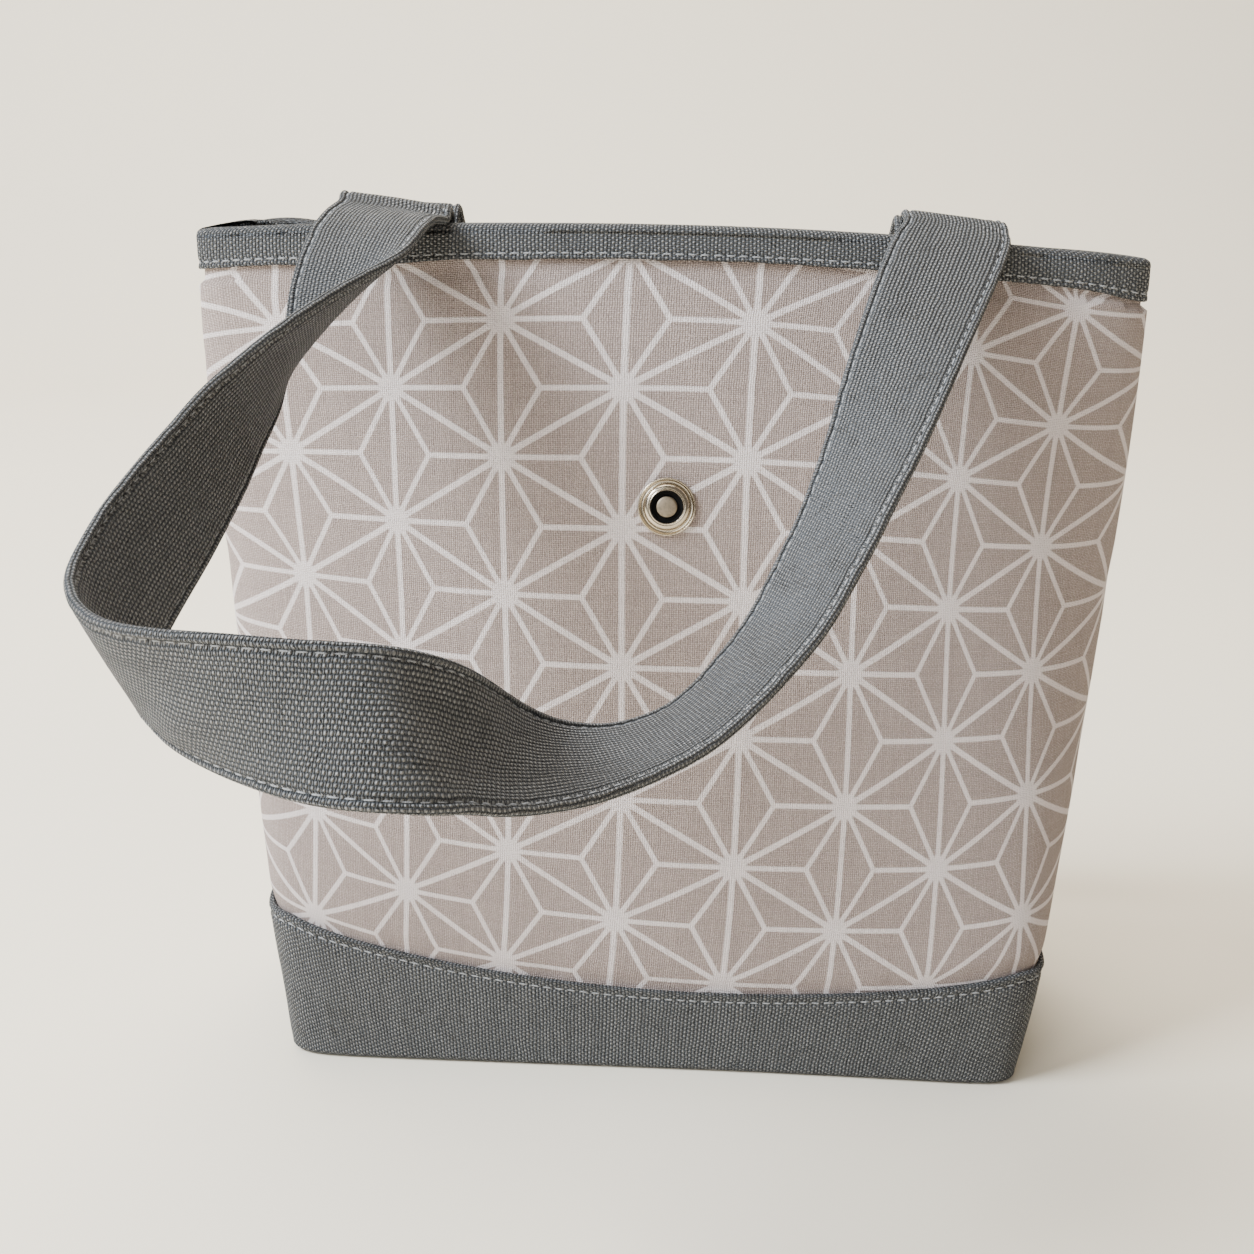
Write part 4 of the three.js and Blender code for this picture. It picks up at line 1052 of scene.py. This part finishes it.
# Edges of the front strap, inner then outer, from its right fold to its left one
frontStrapEdges = [
    (54, -21.5, 221, 84, -23, 219), (48, -36, 208, 73, -49, 202), (43, -47, 194, 65.6, -65, 190),
    (39, -57, 181, 58.5, -80, 178.5), (35, -66.5, 170.5, 51.6, -92.5, 169), (30.5, -76.5, 160.5, 45.5, -104, 160),
    (22, -93, 146, 34.5, -124, 147), (14, -105.5, 137, 24, -138.5, 139), (4.5, -119, 130, 12, -153.5, 132.5),
    (-3, -127.5, 128.5, 2, -165, 130), (-10.5, -136, 129.5, -8.5, -176.5, 129),
    (-17.5, -144, 132.5, -16.5, -184.5, 130), (-22.5, -152, 137, -25, -193, 132), (-28, -164, 145, -31.5, -199, 134),
    (-35, -181, 156, -39, -204, 135.5), (-41.5, -191, 161.5, -46, -206, 136.5),
    (-47.5, -195, 163.5, -52, -205.5, 136.5), (-58.5, -197, 164.5, -62.5, -200.5, 136),
    (-72, -195.5, 164.5, -73.5, -191, 135.5), (-84.5, -191, 163.5, -84.5, -180.5, 135.5),
    (-93.5, -186.5, 162.5, -91.5, -172, 136.5), (-101.5, -180.5, 162, -96.5, -165.5, 137.5),
    (-107.5, -174, 163, -99.5, -161, 138), (-112, -165.5, 165, -101, -157, 139),
    (-113.5, -160, 166.5, -102, -154.5, 140), (-113, -152, 170, -102, -150, 142),
    (-111.5, -142.5, 175, -100.5, -137, 148), (-108, -131.5, 181, -97.5, -119.5, 156.5),
    (-103.5, -121, 187, -95, -102, 165), (-97.5, -107, 195, -93.5, -83, 174.5),
    (-89.5, -91.5, 202.5, -92.5, -68.5, 182), (-82.5, -78, 208, -93, -61, 186.5),
    (-75, -64.5, 213, -93, -58.5, 188.5), (-68.5, -54, 216, -93.5, -57, 190.5),
    (-65.5, -48.5, 217.5, -93.5, -54.5, 194), (-64, -45.5, 218.5, -93.5, -51, 200.5),
    (-63, -41, 220, -93.5, -46.5, 207.5), (-61.5, -34, 222.5, -91.5, -35, 219), (-60, -24, 224.5, -89.5, -24, 224.5),
]
# Half of the back strap, from its right fold: its middle from the fold's end, and the way across it
backStrapHalf = [
    (71.5, 13.5, -14, 1, 0, 0.01), (68.5, 30.5, -50, 1, 0.04, -0.07), (66, 40.5, -90, 0.97, 0.22, -0.07),
    (63, 48.5, -126, 0.86, 0.5, -0.08), (57.5, 56.5, -158.5, 0.6, 0.79, -0.03), (46.5, 64, -184.5, 0.35, 0.93, 0.07),
    (30, 70.5, -202.5, 0.17, 0.96, 0.2), (13, 73, -210.5, 0.07, 0.98, 0.2), (0, 73.5, -212.5, 0, 0.98, 0.19),
]



def sewnEnd(fold):
    side, (cy, cz), radius = fold["side"], fold["middle"], fold["radius"]
    footZ = cz - fold["endLength"]
    innerFace = side * cy - radius
    outX = (handleSpacing + strapLook["width"]) / 2
    foot = min(halfDepthAt(outX, footZ, fold["footDepth"], side) - fold["clearance"], innerFace)
    path = [(side * foot, footZ), (side * (foot + innerFace) / 2, footZ + 16), (cy - side * radius, cz)]
    for angle in np.linspace(-90, fold["past"], 9)[1:]:
        a = math.radians(angle)
        path.append((cy + side * radius * math.sin(a), cz + radius * math.cos(a)))
    a, (y, z) = math.radians(fold["past"]), path[-1]
    return path + [(y + side * fold["leadOut"] * math.cos(a), z - fold["leadOut"] * math.sin(a))]


def buildStrap(name, fold, loose, look, body, replaced):
    end = sewnEnd(fold)
    inner, outer = (handleSpacing - look["width"]) / 2, (handleSpacing + look["width"]) / 2
    (rightIn, rightOut), (leftIn, leftOut) = fold["rightTilt"], fold["leftTilt"]
    rightEnd = [(inner, y, z + rightIn, outer + fold["rightShift"], y, z + rightOut) for y, z in end]
    leftEnd = [(-inner, y, z + leftIn, -outer, y, z + leftOut) for y, z in end[::-1]]
    piece = newPiece()
    addRibbon(piece, rightEnd + loose + leftEnd, look)
    cy, cz = fold["middle"]
    ends = [(0, (cy + fold["side"] * far) * mm, cz * mm) for far in (1.2, fold["radius"] + 3.4)]
    strap = finishPiece(name, piece, [canvas, thread], replaced, fold=(body, *ends))
    print(name, "made,", len(strap.data.polygons), "faces")


frontLook = dict(strapLook, seed=61.0, creases=[
    {"across": 2.0, "along": 300.0, "turn": 40.0, "height": 1.9, "width": 3.8, "length": 15.0},
    {"across": -3.0, "along": 286.0, "turn": 34.0, "height": -1.5, "width": 4.2, "length": 14.0},
    {"across": 5.0, "along": 345.0, "turn": -28.0, "height": 1.4, "width": 4.4, "length": 14.0},
])
frontNames = ["front_handle", "front_handle_right_end", "front_handle_left_end"]
buildStrap("frontStrap", frontFold, frontStrapEdges, frontLook, "front_handle", frontNames)

backStart = (0, *sewnEnd(backFold)[-2])
backHalf = []
for station in backStrapHalf:
    centre, way = np.add(station[:3], backStart), np.array(station[3:]) * strapLook["width"] / 2
    backHalf.append((*(centre - way), *(centre + way)))
backLoose = backHalf + [(-p[0], p[1], p[2], -p[3], p[4], p[5]) for p in backHalf[-2::-1]]
backNames = ["back_handle", "back_handle_right_end", "back_handle_left_end"]
buildStrap("backStrap", backFold, backLoose, dict(strapLook, seed=71.0), "back_handle", backNames)


# The closing tab: a sewn root with a rolled fold, and a straight strip that leans down from it

tabLook = {
    "width": 34.0, "thick": 1.6, "stitchIn": 2.0, "groove": 0.2, "step": 2.0, "fadeEnds": 14.0, "stitches": True,
    "softHeight": 0.3, "softSize": 26.0, "fineHeight": 0.12, "fineSize": 8.0, "seed": 81.0,
    "lean": math.radians(16.0), "fold": (17.467, 220.501), "offset": 1.0, "bridge": 38.901, "reach": 76.0,
    "end": 13.0, "flapFoldOut": 1.95, "rootDrop": 2.6, "rootEnd": 30.2, "stripStart": 1.8, "cornerRadius": 7.0,
    "blendReach": 3.4,
}
neckLook = dict(tabLook, thick=0.7, groove=0.0, step=0.5, stitches=False, softHeight=0.0, fineHeight=0.0)
rollEnd = [(0.2, 0.01), (0.2, 1.0), (0.5, 1.35), (1.2, 1.48)]
stripLength = tabLook["bridge"] + tabLook["reach"] + tabLook["end"]


def tabPlace(along, out):
    (y, z), c, s = tabLook["fold"], math.cos(tabLook["lean"]), math.sin(tabLook["lean"])
    return y + s * along + c * out, z - c * along + s * out


def tabStations(places, inset=0.0):
    half = tabLook["width"] / 2 - inset
    return [(-half, y, z, half, y, z) for y, z in places]


def roundedEnd(length):
    radius = tabLook["cornerRadius"]
    left = np.clip(radius - (length[-1] - length), 0, radius)
    return 1 - (radius - np.sqrt(np.maximum(radius ** 2 - left ** 2, 0))) / (tabLook["width"] / 2)


def buildTab():
    look = tabLook
    root, strip = newPiece(), newPiece()
    alongs = np.linspace(look["rootDrop"], look["rootEnd"], 6)
    addRibbon(root, tabStations([tabPlace(along, -look["offset"]) for along in alongs]), look)
    # the roll of cloth that the tab turns on
    (y, z), half = look["fold"], look["width"] / 2
    roll = [(d - half, r) for d, r in rollEnd] + [(0, 1.5)] + [(half - d, r) for d, r in rollEnd[::-1]]
    x, radius = np.array(roll).T[:, :, None]
    angles = np.linspace(0, 2 * math.pi, 25)
    rows = np.stack(np.broadcast_arrays(x, y + radius * np.cos(angles), z + radius * np.sin(angles)), -1)
    addGrid(root, rows, np.stack(np.broadcast_arrays(x, angles * 1.8 + 60), -1))
    addRibbon(root, tabStations([(y - 0.15 - fall * 0.02, z - fall) for fall in (0.6, 1.6, 2.6, 3.6)], 0.4), neckLook)
    finishPiece("tabRoot", root, [canvas, thread], ["closure_tab_root"])
    alongs = np.linspace(look["stripStart"], stripLength - 0.4, 24)
    stations = tabStations([tabPlace(along, look["offset"]) for along in alongs])
    addRibbon(strip, stations, dict(look, seed=85.0), roundedEnd)
    centre = np.array([0, *tabPlace(look["bridge"], look["flapFoldOut"])])
    way = np.array([0, math.sin(look["lean"]), -math.cos(look["lean"])]) * look["blendReach"]
    ends = [tuple((centre + way * side) * mm) for side in (-1, 1)]
    finishPiece("closingTab", strip, [canvas, thread], ["closure_tab_bridge", "closure_tab_flap"],
                "tab_bridge", fold=("tab_flap", *ends))


buildTab()
print("closing tab made")


# The bound seam allowances inside the side seams

finLook = {
    "width": 7.0, "thick": 1.2, "stitchIn": 1.6, "groove": 0.16, "step": 3.0, "fadeEnds": 6.0, "stitches": True,
    "softHeight": 0.35, "softSize": 22.0, "fineHeight": 0.1, "fineSize": 6.0, "low": 9.6, "high": 203.0,
}


def buildSeamTape(name, side, seed, replaced):
    stations = []
    for z in np.linspace(finLook["low"], finLook["high"], 12):
        share = z / float(rimHeightAt(bagForm["mouthWidth"] / 2, -1))
        out, lean = insetAt(share, bagForm["liningInner"])[0] - finLook["thick"], leanAt(share)
        stations.append((side * (out - finLook["width"]) + lean, 0, z, side * out + lean, 0, z))
    tape = newPiece()
    addRibbon(tape, stations, dict(finLook, seed=seed))
    finishPiece(name, tape, [lining, thread], [replaced])


buildSeamTape("rightSeamTape", 1, 91.0, "right_seam_binding")
buildSeamTape("leftSeamTape", -1, 95.0, "left_seam_binding")
print("seam tapes made")


# The press snap: turned pieces on the snap's own axis

snapLook = {
    "radius": 7.5, "low": 0.3, "flange": 0.5, "domeInner": 4.3, "domeHeight": 2.3, "segments": 128, "chamfer": 0.07,
    # The ring's outline: how far inside its radius, and how far above its foot
    "rim": ((0.15, 0.0), (0.0, 0.2), (0.02, 0.5), (0.12, 0.72), (0.3, 0.8), (0.46, 0.7), (0.56, 0.42), (0.8, 0.26),
            (1.1, 0.2), (1.35, 0.22), (1.5, 0.36), (1.58, 0.8), (1.7, 1.2), (1.9, 1.5), (2.2, 1.74), (2.5, 1.86),
            (2.75, 1.88)),
    # The tab's cap, below its upper face
    "dome": ((0.0, 1.2), (1.5, 1.18), (3.0, 1.1), (4.4, 0.94), (5.6, 0.7), (6.6, 0.42), (7.2, 0.22), (7.5, 0.08),
             (7.4, 0.0), (1.3, 0.0)),
    "hole": 1.6, "studRadius": 1.3, "patchTop": -1.4, "plateTop": -2.2, "collar": 3.45, "capTop": -1.9,
}


def snapMatrix():
    height = bagForm["snapHeight"]
    low, middle, high = [halfDepthAt(0, height + step, 0) for step in (-1, 0, 1)]
    turn = Matrix.Rotation(math.pi / 2 - math.atan2(low - high, 2), 4, "X")
    return Matrix.Translation(Vector((0, -middle, height)) * mm) @ turn


def tabSnapMatrix():
    y, z = tabPlace(tabLook["bridge"] + tabLook["reach"], tabLook["offset"] + tabLook["thick"] / 2)
    return Matrix.Translation(Vector((0, y, z)) * mm) @ Matrix.Rotation(tabLook["lean"] - math.pi / 2, 4, "X")


# Breaks the sharp corners of a turned outline by a small chamfer
def brokenCorners(outline, closed):
    corners = [np.array(p, float) for p in outline]
    result = []
    for k, corner in enumerate(corners):
        ways = [corners[k - 1] - corner, corners[(k + 1) % len(corners)] - corner]
        before, after = [np.linalg.norm(way) for way in ways]
        if -np.dot(*ways) / (before * after) > 0.6 or (not closed and k in (0, len(corners) - 1)):
            result.append(corner)
        else:
            result += [corner + way * min(snapLook["chamfer"] / np.linalg.norm(way), 0.3) for way in ways]
    return np.array(result + result[:1] if closed else result)


def turnedPiece(name, outline, matrix, material, body, replaced):
    outline = brokenCorners(outline, closed=outline[0][0] > 0)
    angles = np.linspace(0, 2 * math.pi, snapLook["segments"] + 1)
    radius, height = outline.T[:, :, None]
    grid = np.stack(np.broadcast_arrays(radius * np.cos(angles), radius * np.sin(angles), height), -1)
    piece = newPiece()
    addGrid(piece, grid, np.stack(np.broadcast_arrays(angles * 5, runLength(outline)[:, None]), -1))
    finishPiece(name, piece, [material], [replaced], body, matrix)


def buildSnaps():
    s = snapLook
    front, back = snapMatrix(), tabSnapMatrix()
    low, inner, top, hole, post = s["low"], s["domeInner"], s["domeHeight"], s["hole"], s["studRadius"]
    floor, seatOuter = low + s["flange"], inner - 0.12
    ring = [(inner, low)] + [(s["radius"] - inset, low + rise) for inset, rise in s["rim"]]
    ring += [(inner + 0.36, low + 1.84), (inner + 0.26, top - 0.08), (inner + 0.14, top), (inner + 0.03, top - 0.06),
             (inner, top - 0.3)]
    seat = [(hole, low), (seatOuter, low), (seatOuter, top - 0.6), (seatOuter - 0.3, top - 0.6),
            (seatOuter - 0.45, floor + 0.2), (seatOuter - 0.7, floor), (hole, floor)]
    stud = [(0.0, -3.0), (post, -3.0), (post, floor + 0.2), (2.55, floor + 0.2), (2.7, floor + 0.4), (2.7, 1.6),
            (2.55, 1.82), (2.2, 1.9), (0.0, 1.84)]
    patch = [(hole, -0.5), (8.7, -0.5), (9.0, -0.25), (8.7, 0.0), (hole, 0.0)]
    plate = [(hole, -0.6), (6.2, -0.6), (6.5, -0.3), (6.2, 0.0), (hole, 0.0)]
    r = s["collar"]
    collar = [(hole, 0.3), (5.85, 0.3), (6.0, 0.45), (5.9, 0.72), (5.5, 0.8), (r + 0.35, 0.82), (r, 1.05), (r, 1.95),
              (r - 0.12, 2.1), (r - 0.35, 2.02), (r - 0.35, 0.85), (hole, 0.8)]
    patch, plate, dome = [[(r, rise + z) for r, rise in outline] for outline, z in (
        (patch, s["patchTop"]), (plate, s["plateTop"]), ([(r, -fall) for r, fall in s["dome"]], s["capTop"]))]
    dome += [(post, 0.8), (0.0, 0.8)]
    turnedPiece("snapRing", ring, front, nickel, "bag", "front_snap_cap")
    # the seat's near-black colour is painted shade in the snap's hole
    turnedPiece("snapSeat", seat, front, seatShadeBlack, "bag", "front_snap_seat")
    turnedPiece("snapStud", stud, front, dullDisc, "bag", "front_snap_post")
    turnedPiece("snapPatch", patch, front, canvas, "bag", "front_snap_patch")
    turnedPiece("snapBackPlate", plate, front, nickel, "bag", "front_snap_back_plate")
    turnedPiece("tabSnapCollar", collar, back, nickel, "tab_flap", "tab_snap_collar")
    turnedPiece("tabSnapCap", dome, back, nickel, "tab_flap", "tab_snap_cap")


buildSnaps()
print("press snap made")


# Camera at the photo's place, pale floor and sweep, soft studio light

photoView = {
    "place": (4.5, -502.8, 255.7), "forward": (-0.0287, 0.9613, -0.2741), "right": (0.9991, 0.0361, 0.0220),
    "focal": 1866.0, "pixels": 1254.0, "sensor": 36.0,
}
studio = {
    "floor": (0.94, 0.85, 0.685, 1), "floorCloud": (0.88, 0.81, 0.69, 1),
    "front": -2200, "back": 1100, "bend": 500, "top": 2600, "side": 3200,
    "world": (1.0, 0.91, 0.80, 1), "worldStrength": 0.24, "target": (0, -0.05, 0.12),
    "lights": {
        "key": {"place": (-1.5, -0.62, 1.45), "size": 0.9, "power": 106.0, "colour": (0.88, 0.945, 1.0)},
        "fill": {"place": (-0.7, -1.7, 1.0), "size": 1.0, "power": 12.0, "colour": (0.95, 0.975, 1.0)},
        "back": {"place": (-0.3, 0.75, 1.9), "size": 1.5, "power": 52.0, "colour": (1.0, 0.95, 0.87)},
    },
}


def place3d(name, data):
    made = bpy.data.objects.new(name, data)
    bpy.context.scene.collection.objects.link(made)
    return made


def buildCamera():
    view = photoView
    forward, right = Vector(view["forward"]).normalized(), Vector(view["right"])
    right = (right - forward * forward.dot(right)).normalized()
    axes = Matrix((right, right.cross(forward), -forward)).transposed().to_4x4()
    camera = bpy.data.cameras.new("photoCamera")
    camera.sensor_width = view["sensor"]
    camera.sensor_fit = "HORIZONTAL"
    camera.lens = view["focal"] / view["pixels"] * view["sensor"]
    camera.clip_start = 0.02
    body = place3d("photoCamera", camera)
    body.matrix_world = Matrix.Translation(Vector(view["place"]) * mm) @ axes
    bpy.context.scene.camera = body


def buildStudio():
    material, tree, place = newMaterial("paleSweep")
    cloud = mixColour(tree, noiseNode(tree, place, 0.004, 3.0), studio["floor"], studio["floorCloud"])
    feedShader(material, {"Base Color": cloud, "Roughness": 0.7})
    back, bend = studio["back"], studio["bend"]
    curve = [(back + bend * math.sin(a), bend - bend * math.cos(a)) for a in np.linspace(0.1, math.pi / 2, 10)]
    profile = [(studio["front"], 0), (back, 0)] + curve + [(back + bend, studio["top"])]
    across = np.linspace(-studio["side"], studio["side"], 9)
    grid = np.array([[(x, y, z) for x in across] for y, z in profile], float)
    piece = newPiece()
    addGrid(piece, grid, grid[..., :2].copy())
    makePiece("paleSweep", piece, [material])
    for name, look in studio["lights"].items():
        light = bpy.data.lights.new(name + "Light", "AREA")
        light.energy, light.size, light.color = look["power"], look["size"], look["colour"]
        lamp = place3d(name + "Light", light)
        lamp.location = look["place"]
        lamp.rotation_euler = (Vector(studio["target"]) - lamp.location).to_track_quat("-Z", "Y").to_euler()
    world = bpy.context.scene.world or bpy.data.worlds.new("studioWorld")
    bpy.context.scene.world = world
    world.use_nodes = True
    background = world.node_tree.nodes["Background"]
    background.inputs[0].default_value = studio["world"]
    background.inputs[1].default_value = studio["worldStrength"]


buildCamera()
buildStudio()
print("camera and light set")
